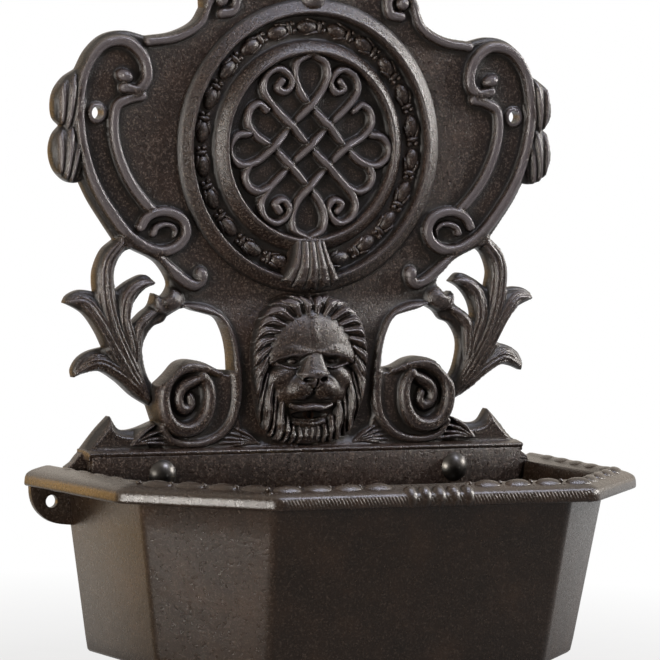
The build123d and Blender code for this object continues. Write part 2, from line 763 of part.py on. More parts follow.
with BuildPart() as drain_flange:
    with BuildSketch(drain_plane(flange_seat)):
        Circle(drain_flange_r)
    extrude(amount=drain_flange_thickness)
    with BuildSketch(drain_plane(flange_seat - drain_tail)):
        Circle(drain_tail_r)
    extrude(amount=drain_tail)
    outlet_end = flange_seat - drain_tail - drain_outlet
    with BuildSketch(drain_plane(outlet_end)):
        Circle(drain_outlet_r)
    extrude(amount=drain_outlet)
    with BuildSketch(drain_plane(outlet_end)):
        Circle(drain_bore_r)
    extrude(amount=flange_top - outlet_end, mode=Mode.SUBTRACT)
    fillet(drain_flange.edges().filter_by(GeomType.CIRCLE).sort_by(Axis.Z)[-1], radius=0.8)
drain_flange.part.label = "drain_flange"
export_step(drain_flange.part, "parts/drain_flange.step")

with BuildPart() as drain_washer:
    with BuildSketch(drain_plane(basin_bottom - gasket_thickness)):
        Circle(drain_flange_r)
        Circle(drain_tail_r + hole_clearance, mode=Mode.SUBTRACT)
    extrude(amount=gasket_thickness)
drain_washer.part.label = "drain_washer"
export_step(drain_washer.part, "parts/drain_washer.step")

with BuildPart() as drain_nut:
    with BuildSketch(drain_plane(basin_bottom - gasket_thickness - drain_nut_thickness)):
        RegularPolygon(drain_nut_flats / 2, 6, major_radius=False)
        Circle(drain_tail_r + fit_gap, mode=Mode.SUBTRACT)
    extrude(amount=drain_nut_thickness)
drain_nut.part.label = "drain_nut"
export_step(drain_nut.part, "parts/drain_nut.step")

# Overflow standpipe: lifts straight out of the drain to empty the basin
collar_bottom = flange_top + seal_thickness
overflow_top = flange_top + overflow_height
with BuildPart() as standpipe:
    with BuildSketch(drain_plane(flange_top - overflow_plug)):
        Circle(drain_bore_r - fit_gap)
    extrude(amount=overflow_plug + seal_thickness)
    with BuildSketch(drain_plane(collar_bottom)):
        Circle(overflow_collar_r)
    extrude(amount=overflow_collar)
    with BuildSketch(drain_plane(collar_bottom)):
        Circle(overflow_r)
    extrude(amount=overflow_top - collar_bottom)
    with BuildSketch(drain_plane(flange_top - overflow_plug)):
        Circle(overflow_r - overflow_wall)
    extrude(amount=overflow_top - flange_top + overflow_plug, mode=Mode.SUBTRACT)
standpipe.part.label = "standpipe"
export_step(standpipe.part, "parts/standpipe.step")

with BuildPart() as standpipe_seal:
    with BuildSketch(drain_plane(flange_top)):
        Circle(overflow_collar_r)
        Circle(drain_bore_r, mode=Mode.SUBTRACT)
    extrude(amount=seal_thickness)
standpipe_seal.part.label = "standpipe_seal"
export_step(standpipe_seal.part, "parts/standpipe_seal.step")

with BuildPart() as strainer_cap:
    cap_bottom = overflow_top - strainer_height / 2
    cavity_bottom = cap_bottom + strainer_seat
    cavity_top = cap_bottom + strainer_height - strainer_wall
    with BuildSketch(drain_plane(cap_bottom)):
        Circle(strainer_r)
    extrude(amount=strainer_height)
    fillet(strainer_cap.edges().filter_by(GeomType.CIRCLE).sort_by(Axis.Z)[-1], radius=strainer_wall)
    with BuildSketch(drain_plane(cap_bottom)):
        Circle(overflow_r + fit_gap)
    extrude(amount=strainer_seat, mode=Mode.SUBTRACT)
    with BuildSketch(drain_plane(cavity_bottom)):
        Circle(strainer_r - strainer_wall)
    extrude(amount=cavity_top - cavity_bottom, mode=Mode.SUBTRACT)
    with BuildSketch(drain_plane(cavity_bottom)):
        with PolarLocations(strainer_r, strainer_slots):
            Rectangle(strainer_r, strainer_slot_width)
    extrude(amount=cavity_top - cavity_bottom - strainer_wall, mode=Mode.SUBTRACT)
strainer_cap.part.label = "strainer_cap"
export_step(strainer_cap.part, "parts/strainer_cap.step")
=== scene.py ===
import math

import bmesh
import bpy
import numpy as np
from mathutils import Matrix, Vector


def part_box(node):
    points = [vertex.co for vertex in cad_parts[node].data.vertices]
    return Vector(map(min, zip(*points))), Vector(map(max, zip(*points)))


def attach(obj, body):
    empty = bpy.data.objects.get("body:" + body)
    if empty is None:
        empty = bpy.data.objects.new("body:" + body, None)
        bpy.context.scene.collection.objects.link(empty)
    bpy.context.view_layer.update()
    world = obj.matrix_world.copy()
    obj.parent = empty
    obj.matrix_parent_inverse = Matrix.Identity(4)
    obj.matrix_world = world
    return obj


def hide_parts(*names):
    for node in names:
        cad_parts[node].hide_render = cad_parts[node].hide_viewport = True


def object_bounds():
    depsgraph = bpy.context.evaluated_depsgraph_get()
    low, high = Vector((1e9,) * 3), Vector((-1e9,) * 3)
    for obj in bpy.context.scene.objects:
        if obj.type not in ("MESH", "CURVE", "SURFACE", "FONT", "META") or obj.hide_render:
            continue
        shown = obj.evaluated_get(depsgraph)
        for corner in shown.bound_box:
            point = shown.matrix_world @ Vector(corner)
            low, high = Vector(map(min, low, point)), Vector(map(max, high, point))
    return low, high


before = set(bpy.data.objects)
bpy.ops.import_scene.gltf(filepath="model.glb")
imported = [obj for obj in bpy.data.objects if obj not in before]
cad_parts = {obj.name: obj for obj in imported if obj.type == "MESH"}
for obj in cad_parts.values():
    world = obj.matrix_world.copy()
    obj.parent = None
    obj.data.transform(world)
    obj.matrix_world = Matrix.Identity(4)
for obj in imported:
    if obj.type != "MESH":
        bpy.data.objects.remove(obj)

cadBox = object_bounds()
mm = 0.001
absent = -100.0  # height of a form where it does not reach


# Small helpers for colours, nodes and meshes

def toLinear(hexColour):
    channels = []
    for start in (0, 2, 4):
        value = int(hexColour[start:start + 2], 16) / 255
        channels.append(value / 12.92 if value <= 0.04045 else ((value + 0.055) / 1.055) ** 2.4)
    return (*channels, 1.0)


def perMm(size):
    return 1000 / size  # texture scale that gives a pattern of this many millimetres


def addNode(tree, kind, settings=None, feeds=None):
    node = tree.nodes.new(kind)
    for name, value in (settings or {}).items():
        setattr(node, name, value)
    for socket, value in (feeds or {}).items():
        if isinstance(value, bpy.types.NodeSocket):
            tree.links.new(value, node.inputs[socket])
        else:
            node.inputs[socket].default_value = value
    return node


def addRamp(tree, factor, stops):
    node = addNode(tree, "ShaderNodeValToRGB", feeds={"Fac": factor})
    ramp = node.color_ramp
    while len(ramp.elements) < len(stops):
        ramp.elements.new(1.0)
    for element, (place, colour) in zip(ramp.elements, stops):
        element.position = place
        element.color = toLinear(colour)
    return node.outputs["Color"]


def newMaterial(name):
    material = bpy.data.materials.new(name)
    material.use_nodes = True
    material.node_tree.nodes.clear()
    return material, material.node_tree


def finishMaterial(tree, shader):
    addNode(tree, "ShaderNodeOutputMaterial", feeds={"Surface": shader.outputs[0]})


def newObject(name, data):
    made = bpy.data.objects.new(name, data)
    bpy.context.scene.collection.objects.link(made)
    return made


def addPiece(name, mesh, material, smooth=True):
    mesh.materials.clear()
    mesh.materials.append(material)
    if smooth:
        mesh.polygons.foreach_set("use_smooth", [True] * len(mesh.polygons))
    return newObject(name, mesh)


def meshFrom(builder, name):
    mesh = bpy.data.meshes.new(name)
    builder.to_mesh(mesh)
    builder.free()
    return mesh


def closedMesh(builder, name):
    bmesh.ops.recalc_face_normals(builder, faces=builder.faces)
    return meshFrom(builder, name)


def asMesh(holder, name):
    graph = bpy.context.evaluated_depsgraph_get()
    mesh = bpy.data.meshes.new_from_object(holder.evaluated_get(graph), depsgraph=graph)
    bpy.data.objects.remove(holder)
    mesh.name = name
    return mesh


def join(pieces, name):
    builder = bmesh.new()
    for piece in pieces:
        builder.from_mesh(piece)
    return meshFrom(builder, name)


# Materials

def sandCastIron(name, tones, fleckShare, sandDepth, shine):
    # Grey iron cast in sand, blackened and waxed: brown-black satin, grain of the sand,
    # rubbed and cooler on the raised edges, partly real wear and partly a painted highlight,
    # dull and near-black in the hollows, which is painted shade with some dust
    material, tree = newMaterial(name)
    place = addNode(tree, "ShaderNodeTexCoord").outputs["Object"]
    wearAndPaintedLight = addNode(tree, "ShaderNodeAttribute", {"attribute_name": "wearAndPaintedLight"}).outputs["Fac"]
    sand = addNode(tree, "ShaderNodeTexNoise", feeds={
        "Vector": place, "Scale": perMm(1.6), "Detail": 4.0, "Roughness": 0.7}).outputs["Fac"]
    pits = addNode(tree, "ShaderNodeTexNoise", feeds={
        "Vector": place, "Scale": perMm(4), "Detail": 4.0, "Roughness": 0.55}).outputs["Fac"]
    patches = addNode(tree, "ShaderNodeTexNoise", feeds={
        "Vector": place, "Scale": perMm(42), "Detail": 4.0, "Roughness": 0.6}).outputs["Fac"]
    body = addRamp(tree, patches, list(zip((0.3, 0.5, 0.7), tones)))
    fleck = addNode(tree, "ShaderNodeMapRange", feeds={
        "Value": sand, "From Min": 0.52, "From Max": 0.68, "To Max": fleckShare}).outputs["Result"]
    flecked = addNode(tree, "ShaderNodeMix", {"data_type": "RGBA"}, {
        "Factor": fleck, 6: body, 7: toLinear("716359")}).outputs[2]
    # Painted highlight: raised edges turn a lighter, cooler grey (575254), partly real rubbing of the iron
    rubbedAndPaintedSheen = addNode(tree, "ShaderNodeMapRange", feeds={
        "Value": wearAndPaintedLight, "From Min": 0.22, "From Max": 0.95, "To Max": 0.8}).outputs["Result"]
    edged = addNode(tree, "ShaderNodeMix", {"data_type": "RGBA"}, {
        "Factor": rubbedAndPaintedSheen, 6: flecked, 7: toLinear("575254")}).outputs[2]
    # Painted shade: hollows turn near-black (0b0806), with some dust in them
    paintedHollowShade = addNode(tree, "ShaderNodeMapRange", feeds={
        "Value": wearAndPaintedLight, "From Min": -0.1, "From Max": -0.9, "To Max": 0.85}).outputs["Result"]
    toned = addNode(tree, "ShaderNodeMix", {"data_type": "RGBA"}, {
        "Factor": paintedHollowShade, 6: edged, 7: toLinear("0b0806")}).outputs[2]
    dull = addNode(tree, "ShaderNodeMapRange", feeds={
        "Value": pits, "From Min": 0.3, "From Max": 0.7, "To Min": shine[0],
        "To Max": shine[1]}).outputs["Result"]
    polish = addNode(tree, "ShaderNodeMath", {"operation": "MULTIPLY_ADD"}, {
        0: wearAndPaintedLight, 1: -0.14, 2: dull}).outputs[0]
    coarse = addNode(tree, "ShaderNodeBump", feeds={"Strength": 0.5, "Distance": 0.0004, "Height": pits})
    fine = addNode(tree, "ShaderNodeBump", feeds={
        "Strength": 0.6, "Distance": sandDepth, "Height": sand, "Normal": coarse.outputs["Normal"]})
    shader = addNode(tree, "ShaderNodeBsdfPrincipled", feeds={
        "Base Color": toned, "Roughness": polish, "Normal": fine.outputs["Normal"],
        "Metallic": 0.0, "IOR": 1.5, "Specular IOR Level": 0.5})
    finishMaterial(tree, shader)
    return material


def metal(name, tones, roughness, grain, bumpDepth):
    # A bare or plated metal: tone drifts in patches, fine marks break up the shine
    material, tree = newMaterial(name)
    place = addNode(tree, "ShaderNodeTexCoord").outputs["Object"]
    patches = addNode(tree, "ShaderNodeTexNoise", feeds={
        "Vector": place, "Scale": perMm(9), "Detail": 4.0}).outputs["Fac"]
    marks = addNode(tree, "ShaderNodeTexNoise", feeds={
        "Vector": place, "Scale": perMm(grain), "Detail": 3.0}).outputs["Fac"]
    tone = addRamp(tree, patches, [(0.32, tones[0]), (0.52, tones[1]), (0.7, tones[2])])
    dull = addNode(tree, "ShaderNodeMapRange", feeds={
        "Value": marks, "From Min": 0.3, "From Max": 0.7, "To Min": roughness - 0.08,
        "To Max": roughness + 0.1}).outputs["Result"]
    bump = addNode(tree, "ShaderNodeBump", feeds={"Strength": 0.3, "Distance": bumpDepth, "Height": marks})
    shader = addNode(tree, "ShaderNodeBsdfPrincipled", feeds={
        "Base Color": tone, "Roughness": dull, "Normal": bump.outputs["Normal"], "Metallic": 1.0})
    finishMaterial(tree, shader)
    return material


def dullSheet(name, tones, roughness, grain):
    # Rubber or pressed fibre: no shine, a fine mottled surface
    material, tree = newMaterial(name)
    place = addNode(tree, "ShaderNodeTexCoord").outputs["Object"]
    mottle = addNode(tree, "ShaderNodeTexNoise", feeds={
        "Vector": place, "Scale": perMm(grain), "Detail": 5.0}).outputs["Fac"]
    tone = addRamp(tree, mottle, [(0.35, tones[0]), (0.65, tones[1])])
    dull = addNode(tree, "ShaderNodeMapRange", feeds={
        "Value": mottle, "To Min": roughness - 0.08, "To Max": roughness + 0.08}).outputs["Result"]
    bump = addNode(tree, "ShaderNodeBump", feeds={"Strength": 0.3, "Distance": 0.0002, "Height": mottle})
    shader = addNode(tree, "ShaderNodeBsdfPrincipled", feeds={
        "Base Color": tone, "Roughness": dull, "Normal": bump.outputs["Normal"], "Metallic": 0.0})
    finishMaterial(tree, shader)
    return material


iron = sandCastIron("sandCastIron", ("150e0b", "1d1410", "291d17"), 0.75, 0.0009, (0.25, 0.33))
basinIron = sandCastIron("smoothCastIron", ("170f08", "1e140c", "2a1d13"), 0.3, 0.0005, (0.26, 0.31))
blackSteel = metal("blackenedSteel", ("3b3a38", "4c4a48", "615f5b"), 0.36, 1.2, 0.0001)
zincSteel = metal("zincPlatedSteel", ("8b8f92", "a4a8ab", "b9bcbe"), 0.36, 0.8, 0.0001)
copper = metal("agedCopper", ("241913", "33241c", "453127"), 0.5, 0.9, 0.0001)
brass = metal("turnedBrass", ("8d6f36", "a88846", "bb9c5c"), 0.3, 0.8, 0.0001)
rubber = dullSheet("mouldedRubber", ("141414", "1f1e1d"), 0.72, 1.4)
fibre = dullSheet("pressedFibre", ("5a2c20", "74402e"), 0.82, 0.9)
print("materials made")


# Lines and fields: a relief is a height on a square grid, in millimetres out of the wall

def smoothLine(points, step=2.0, closed=False):
    knots = [np.array(point, float) for point in points]
    if closed:
        knots = [knots[-1], *knots, *knots[:2]]
    else:
        knots = [2 * knots[0] - knots[1], *knots, 2 * knots[-1] - knots[-2]]
    line = []
    for a, b, c, d in zip(knots, knots[1:], knots[2:], knots[3:]):
        spans = [np.linalg.norm(q - p) ** 0.5 for p, q in ((a, b), (b, c), (c, d))]
        times = np.cumsum([0, *spans])
        count = max(2, int(np.linalg.norm(c - b) / step))
        for t in np.linspace(times[1], times[2], count, endpoint=False):
            ab = a + (b - a) * (t - times[0]) / spans[0]
            bc = b + (c - b) * (t - times[1]) / spans[1]
            cd = c + (d - c) * (t - times[2]) / spans[2]
            first = ab + (bc - ab) * (t - times[0]) / (times[2] - times[0])
            second = bc + (cd - bc) * (t - times[1]) / (times[3] - times[1])
            line.append(first + (second - first) * (t - times[1]) / spans[1])
    if not closed:
        line.append(knots[-2])
    return np.array(line)


def cornered(stretches):
    return np.vstack([smoothLine(stretch)[:-1] for stretch in stretches])


def ringLine(centre, radius, start=0.0, turn=360.0, count=72):
    angles = np.radians(start + turn * np.arange(count + 1) / count)
    return np.column_stack([centre[0] + radius * np.cos(angles), centre[1] + radius * np.sin(angles)])


def makeGrid(low, high, pitch):
    x = np.arange(low[0], high[0] + pitch, pitch)
    z = np.arange(low[1], high[1] + pitch, pitch)
    return {"x": x, "z": z, "pitch": pitch, "shape": (len(z), len(x))}


def lineField(grid, line, reach):
    # Nearest distance to a line, the side of it, and the share of its length gone by
    distance = np.full(grid["shape"], float(reach))
    side = np.zeros(grid["shape"])
    share = np.zeros(grid["shape"])
    gone = np.concatenate([[0], np.cumsum(np.linalg.norm(np.diff(line, axis=0), axis=1))])
    for k, (a, b) in enumerate(zip(line, line[1:])):
        run = b - a
        size = run @ run
        if size < 1e-12:
            continue
        low, high = np.minimum(a, b) - reach, np.maximum(a, b) + reach
        columns = slice(*np.searchsorted(grid["x"], (low[0], high[0])))
        rows = slice(*np.searchsorted(grid["z"], (low[1], high[1])))
        dx = grid["x"][columns][None, :] - a[0]
        dz = grid["z"][rows][:, None] - a[1]
        along = np.clip((dx * run[0] + dz * run[1]) / size, 0, 1)
        ex, ez = dx - along * run[0], dz - along * run[1]
        near = np.hypot(ex, ez)
        block = (rows, columns)
        closer = near < distance[block]
        distance[block][closer] = near[closer]
        side[block][closer] = np.sign(run[0] * ez - run[1] * ex)[closer]
        share[block][closer] = ((gone[k] + along * size ** 0.5) / gone[-1])[closer]
    return distance, side, share


def insideOf(grid, loops):
    inside = np.zeros(grid["shape"], bool)
    for loop in loops:
        ends = np.roll(loop, -1, axis=0)
        for row, z in enumerate(grid["z"]):
            crosses = np.nonzero((loop[:, 1] <= z) != (ends[:, 1] <= z))[0]
            a, b = loop[crosses], ends[crosses]
            for place in a[:, 0] + (z - a[:, 1]) / (b[:, 1] - a[:, 1]) * (b[:, 0] - a[:, 0]):
                inside[row] ^= grid["x"] > place
    return inside


def edgeField(grid, loops, reach):
    # Distance from the outline: above zero inside it
    lines = [lineField(grid, np.vstack([loop, loop[:1]]), reach)[0] for loop in loops]
    distance = np.minimum.reduce(lines)
    return np.where(insideOf(grid, loops), distance, -distance)


def boxBlur(field, cells):
    for axis in (0, 1):
        pads = [(cells + 1, cells) if side == axis else (0, 0) for side in (0, 1)]
        total = np.cumsum(np.pad(field, pads, mode="edge"), axis=axis)
        size = total.shape[axis]
        ahead = np.take(total, range(2 * cells + 1, size), axis)
        behind = np.take(total, range(0, size - 2 * cells - 1), axis)
        field = (ahead - behind) / (2 * cells + 1)
    return field


def meet(ground, form, soften):
    # The higher of two heights, with a fillet where they meet
    blend = np.maximum(soften - np.abs(ground - form), 0) / soften
    return np.maximum(ground, form) + blend * blend * soften / 4


def carve(ground, form, soften):
    return -meet(-ground, -form, soften)


def ridge(grid, points, halfWidth, low, high, crown=3.0):
    # A raised strip; each size may be a row of values, from the line's start to its end
    line = points if isinstance(points, np.ndarray) else smoothLine(points)
    widest = max(halfWidth) if isinstance(halfWidth, tuple) else halfWidth
    distance, side, share = lineField(grid, line, 1.8 * widest)
    ends = [value if isinstance(value, tuple) else (value, value) for value in (halfWidth, low, high)]
    width, foot, top = [np.interp(share, np.linspace(0, 1, len(value)), value) for value in ends]
    reach = distance / width
    return np.where(reach < 1.7, top - (top - foot) * reach ** crown, absent)


def dome(grid, centre, halfSize, low, high, crown=2.0, turn=0.0):
    dx = grid["x"][None, :] - centre[0]
    dz = grid["z"][:, None] - centre[1]
    c, s = math.cos(math.radians(turn)), math.sin(math.radians(turn))
    reach = np.hypot((dx * c + dz * s) / halfSize[0], (dz * c - dx * s) / halfSize[1])
    return np.where(reach < 1.5, high - (high - low) * reach ** crown, absent)


def smoothStep(value):
    share = np.clip(value, 0, 1)
    return share * share * (3 - 2 * share)


def plateau(grid, loop, low, high, slope):
    edge = edgeField(grid, [loop], 2 * slope)
    return np.where(edge > 0, low + (high - low) * smoothStep(edge / slope), absent)


def rounding(distance, radius):
    short = np.clip(radius - distance, 0, radius)
    return radius - np.sqrt(radius * radius - short * short)


def addForms(grid, height, forms):
    # A form: how it is made, its sizes, its fillet, and for a cut the level it is measured down from
    for make, sizes, fillet, *level in forms:
        form = make(grid, *sizes)
        height = carve(height, level[0] - form, fillet) if level else meet(height, form, fillet)
    return height


relief = {
    "wearAndPaintedLightFields": ((4, 1.3, 1), (12, 5.0, 0)),  # cells it looks round, height that counts, most it adds
    "sharpAngle": 50,
}


def reliefMesh(name, grid, edge, height, back, rubAndSheenShare=1.0, flip=False):
    # Front of the relief on the grid cells inside the edge, walls down to a flat back
    pitch = grid["pitch"]
    kept = edge > -0.5 * pitch
    cells = kept[:-1, :-1] & kept[1:, :-1] & kept[:-1, 1:] & kept[1:, 1:]
    x, z = np.meshgrid(grid["x"], grid["z"])
    framed = np.pad(cells, 1)
    around = [framed[1:, 1:], framed[1:, :-1], framed[:-1, 1:], framed[:-1, :-1]]
    used = np.logical_or.reduce(around)
    border = used & ~np.logical_and.reduce(around)
    slopeZ, slopeX = np.gradient(edge, pitch)
    steep = np.maximum(np.hypot(slopeX, slopeZ), 0.3)
    shift = np.where(border, np.clip(edge, -pitch, pitch), 0)
    x = x - shift * slopeX / steep
    z = z - shift * slopeZ / steep
    index = np.full(grid["shape"], -1)
    index[used] = np.arange(used.sum())
    # Height above the blurred surroundings: above zero on raised edges, where the iron gets a rubbed edge
    # with a painted highlight, below zero in hollows, where it gets painted shade
    wearAndPaintedLight = np.zeros(grid["shape"])
    for reach, depth, most in relief["wearAndPaintedLightFields"]:
        soft = boxBlur(boxBlur(np.where(used, height, 0), reach), reach)
        share = boxBlur(boxBlur(used.astype(float), reach), reach)
        wearAndPaintedLight = wearAndPaintedLight + np.clip((height - soft / np.maximum(share, 1e-3)) / depth, -1, most)
    wearAndPaintedLight = np.clip(wearAndPaintedLight, -1, 1)
    wearAndPaintedLight = np.where(wearAndPaintedLight > 0, wearAndPaintedLight * rubAndSheenShare, wearAndPaintedLight)
    front = np.column_stack([x[used], -height[used], z[used]])
    a, b = index[:-1, :-1][cells], index[:-1, 1:][cells]
    c, d = index[1:, 1:][cells], index[1:, :-1][cells]
    faces = np.column_stack([a, b, c, d])
    # Border edges, run with the cell on their left
    below = cells & ~framed[:-2, 1:-1]
    above = cells & ~framed[2:, 1:-1]
    left = cells & ~framed[1:-1, :-2]
    right = cells & ~framed[1:-1, 2:]
    starts = np.concatenate([index[:-1, :-1][below], index[1:, 1:][above], index[1:, :-1][left],
                             index[:-1, 1:][right]])
    ends = np.concatenate([index[:-1, 1:][below], index[1:, :-1][above], index[:-1, :-1][left],
                           index[1:, 1:][right]])
    rim = np.unique(np.concatenate([starts, ends]))
    rear = np.full(len(front), -1)
    rear[rim] = len(front) + np.arange(len(rim))
    rearPoints = front[rim].copy()
    rearPoints[:, 1] = -back
    points = np.vstack([front, rearPoints]) * mm
    walls = np.column_stack([ends, starts, rear[starts], rear[ends]])
    filler = bmesh.new()
    corners = [filler.verts.new(point) for point in points[len(front):]]
    loops = [filler.edges.new((corners[p - len(front)], corners[q - len(front)]))
             for p, q in zip(rear[starts], rear[ends])]
    filler.verts.index_update()
    bmesh.ops.triangle_fill(filler, edges=loops, use_beauty=False, normal=(0, 1, 0))
    backs = []
    for face in filler.faces:
        face.normal_update()
        order = [corner.index + len(front) for corner in face.verts]
        backs.append(order if face.normal.y > 0 else order[::-1])
    filler.free()
    polygons = faces.tolist() + walls.tolist() + backs
    if flip:
        points[:, 0] *= -1
        polygons = [polygon[::-1] for polygon in polygons]
    mesh = bpy.data.meshes.new(name)
    mesh.from_pydata(points.tolist(), [], polygons)
    mark = mesh.attributes.new("wearAndPaintedLight", "FLOAT", "POINT")
    mark.data.foreach_set("value", np.concatenate([wearAndPaintedLight[used], np.zeros(len(rim))]))
    mesh.update()
    piece = addPiece(name, mesh, iron)
    mesh.set_sharp_from_angle(angle=math.radians(relief["sharpAngle"]))
    return piece


# Back plate: one half as a relief, and its mirror image

plate = {
    "pitch": 0.72,
    "back": 3.0,
    "front": 12.0,
    "edgeRound": 3.6,
    "centre": (0.0, 291.0),  # of the medallion
    "medallionHole": 113.0,
    "ledgeTop": 40.0,
    "top": 428.0,
    "gridEnd": (238, 430),
    "edgeReach": 6,
    "footTop": 50.0,  # below this the plate thickens towards the ledge
    "footFade": 10.0,
    "footRise": 8.0,
    "neckTop": 168.0,
    "neckFade": 34.0,
    "neckRise": 4.5,
    "rubAndSheenHeights": (110, 205),
    "rubAndSheenShares": (0.4, 1),
    "channelHalf": 9.5,
    "channelTop": 79.5,
    "wallHole": (195.8, 316.8),
    "wallHoleRadius": 5.5,
    "maskScrew": (28.0, 122.0),
    "maskScrewRadius": 5.9,
    "upperEye": (172.0, 347.0),
}
plateEdge = [
    [(204, 40), (190, 57), (178, 69)],
    [(178, 69), (171, 59), (165, 57), (155, 58), (138, 64)],
    [(138, 64), (143, 77)],
    [(143, 77), (157, 85), (173, 98), (188, 106), (202, 104.5), (211, 101)],
    [(211, 101), (212, 107), (208, 115), (202, 120), (195, 123), (184, 125.5)],
    [(184, 125.5), (191, 138.5), (202.5, 153), (214, 159.5), (220.5, 162)],
    [(220.5, 162), (218, 167), (211.5, 171), (204.5, 172.5), (193, 171)],
    [(193, 171), (194, 178), (193.5, 189), (186.5, 205), (176, 213.5)],
    [(176, 213.5), (186.5, 227.5), (199, 245), (208, 261)],
    [(208, 261), (214, 259.5), (222, 262), (231, 271), (235, 286), (232, 299), (226, 306)],
    [(226, 306), (232, 312), (234, 322), (232, 334), (224, 345), (213, 352)],
    [(213, 352), (204, 368), (190, 380), (172, 384), (152, 380)],
    [(152, 380), (126, 384), (108, 393), (101, 404)],
    [(101, 404), (101, 414), (94, 424), (84, 427), (72, 424), (66, 418)],
    [(66, 418), (40, 424), (0, 428)],
]
bigOpening = [
    [(69, 105), (70.5, 121), (74.5, 136), (82, 148.5), (92, 152), (104.5, 155), (113, 158.5)],
    [(113, 158.5), (125, 152.5), (131.5, 145.5), (140, 142), (147.5, 131), (149, 121), (145, 103),
     (139, 93)],
    [(139, 93), (128.5, 102), (118.5, 112), (110, 114.5), (98, 113), (83.5, 106.5), (69, 105)],
]
upperOpening = [
    [(163, 206.5), (170, 201.5), (176.5, 186), (174.5, 171.5)],
    [(174.5, 171.5), (161.5, 180), (147.5, 184.5), (139, 177.5)],
    [(139, 177.5), (148.5, 172.5), (158, 161.5), (162, 149), (161, 143.5)],
    [(161, 143.5), (150.5, 153.5), (143.5, 159), (140, 169.5)],
    [(140, 169.5), (132.5, 166.5), (126.5, 174), (126.5, 179), (137.5, 194.5), (156.5, 204), (163, 206.5)],
]
neckOutline = [
    (0, 172), (0, 40), (66, 40), (67, 85), (68.5, 110), (72.5, 129), (80, 145), (92, 151), (106, 155),
    (100, 168), (60, 172)]
scrollOutline = [
    (60, 40), (64, 84), (68, 104), (83, 106.5), (98, 113), (110, 114.5), (120, 111), (128.5, 102),
    (138, 91.5), (141, 80), (138, 62), (132, 40)]
acroterionOutline = [(140, 40), (150, 57), (160, 56), (172, 59), (178, 69), (190, 57), (204, 40)]
# Lip that edges the neck and turns under the standing scroll, and the scroll's own coil
neckLip = [
    (113, 156.5), (99, 155), (86, 149.5), (77, 140), (71, 127), (68, 112), (66, 97), (66, 80), (70, 65),
    (80, 53), (95, 46.5), (112, 45.5), (126, 49.5), (134, 60)]
scrollRing = [
    (82, 103.5), (92, 106.5), (102, 108.3), (113, 108.5), (124.5, 104), (132.5, 94), (134.5, 82),
    (131.5, 69), (124.5, 60.5), (114.5, 57), (102.5, 60), (94.5, 69.5), (91.5, 82), (93, 93), (98.5, 101.5)]
scrollHeart = [
    (99, 100), (108, 96.5), (116.5, 91.5), (120, 84), (118, 76.5), (112, 74), (107.5, 78.5), (109, 84)]
outerBand = [
    (172, 338), (160, 336), (152, 345), (155, 362), (170, 375), (190, 373), (205, 357), (211, 338),
    (212.5, 320), (209, 292), (199, 262.5), (184, 238.5), (166, 217.5), (154, 209.5), (142.5, 204.5),
    (130, 204.5), (119, 210), (113.5, 220), (117, 230), (127, 235.5), (140, 236), (150, 231.5), (155, 224)]
voluteComma = [(143.5, 218.5), (141.5, 223), (134, 226), (126.5, 225), (122.5, 221), (123.5, 216.5)]
innerBand = [
    (156, 331), (168, 328.5), (178, 323), (181, 312), (178.5, 290), (167, 263.5), (150.5, 243),
    (142, 235.5)]
smallScroll = [
    (170, 213.5), (154, 206), (138, 197.5), (124, 187), (112, 178.5), (104, 176), (98.5, 180), (99, 186)]
crestScroll = [(150, 376), (124, 380), (104, 392), (97, 408), (86, 421), (72, 414), (74, 402), (84, 400)]
tendrilHook = [(128, 157.5), (135, 158), (139.5, 165)]
# Leaf blades: line, half widths and tops along it
leafBlades = (
    ([(145, 82), (159, 94), (176, 106), (192, 112.5), (210, 104)],
     (4, 9, 10, 8.5, 3), (16, 18, 18, 17, 13)),
    ([(146, 84), (162, 103), (178, 128), (192, 150), (204, 163), (219, 163)],
     (4, 9, 9, 9, 8, 3), (16, 18.5, 19, 18.5, 17, 13)),
    ([(147, 86), (163, 112), (177, 140), (185, 170), (184, 195), (172, 211)],
     (4, 8, 9, 8.5, 8, 6), (16, 18.5, 19, 18, 17.5, 17)),
    ([(158, 104), (162, 128), (168, 150), (164, 168), (153, 177), (141, 178)],
     (3, 6, 8, 7, 5.5, 3), (15, 18, 18.5, 18, 17, 15)),
    ([(156, 104), (157, 126), (155, 142), (147, 150), (138, 155)],
     (3, 5, 6, 6, 4), (15, 17, 17.5, 17.5, 15)),
)
leafFlute = {"spacing": 3.7, "rise": 0.55, "fullWidth": 7.0, "bladeDrop": 4.5}
# Buds at the outer edge: centre and half sizes
huskBuds = (((221, 283), (14, 25)), ((220, 326), (14.5, 24)))
bud = {"foot": 12, "top": 18.5, "crown": 2.4, "ribs": 11, "narrowing": 0.5, "slant": 2.2, "ribRise": 1.3}


def fan(root, ends, bow, sizes):
    # Ribs that spread from one root, each bowed upwards a little
    forms = []
    for end in ends:
        middle = ((root[0] + end[0]) / 2, bow + (root[1] + end[1]) / 2)
        forms.append((ridge, ([root, middle, end], *sizes), 1))
    return forms


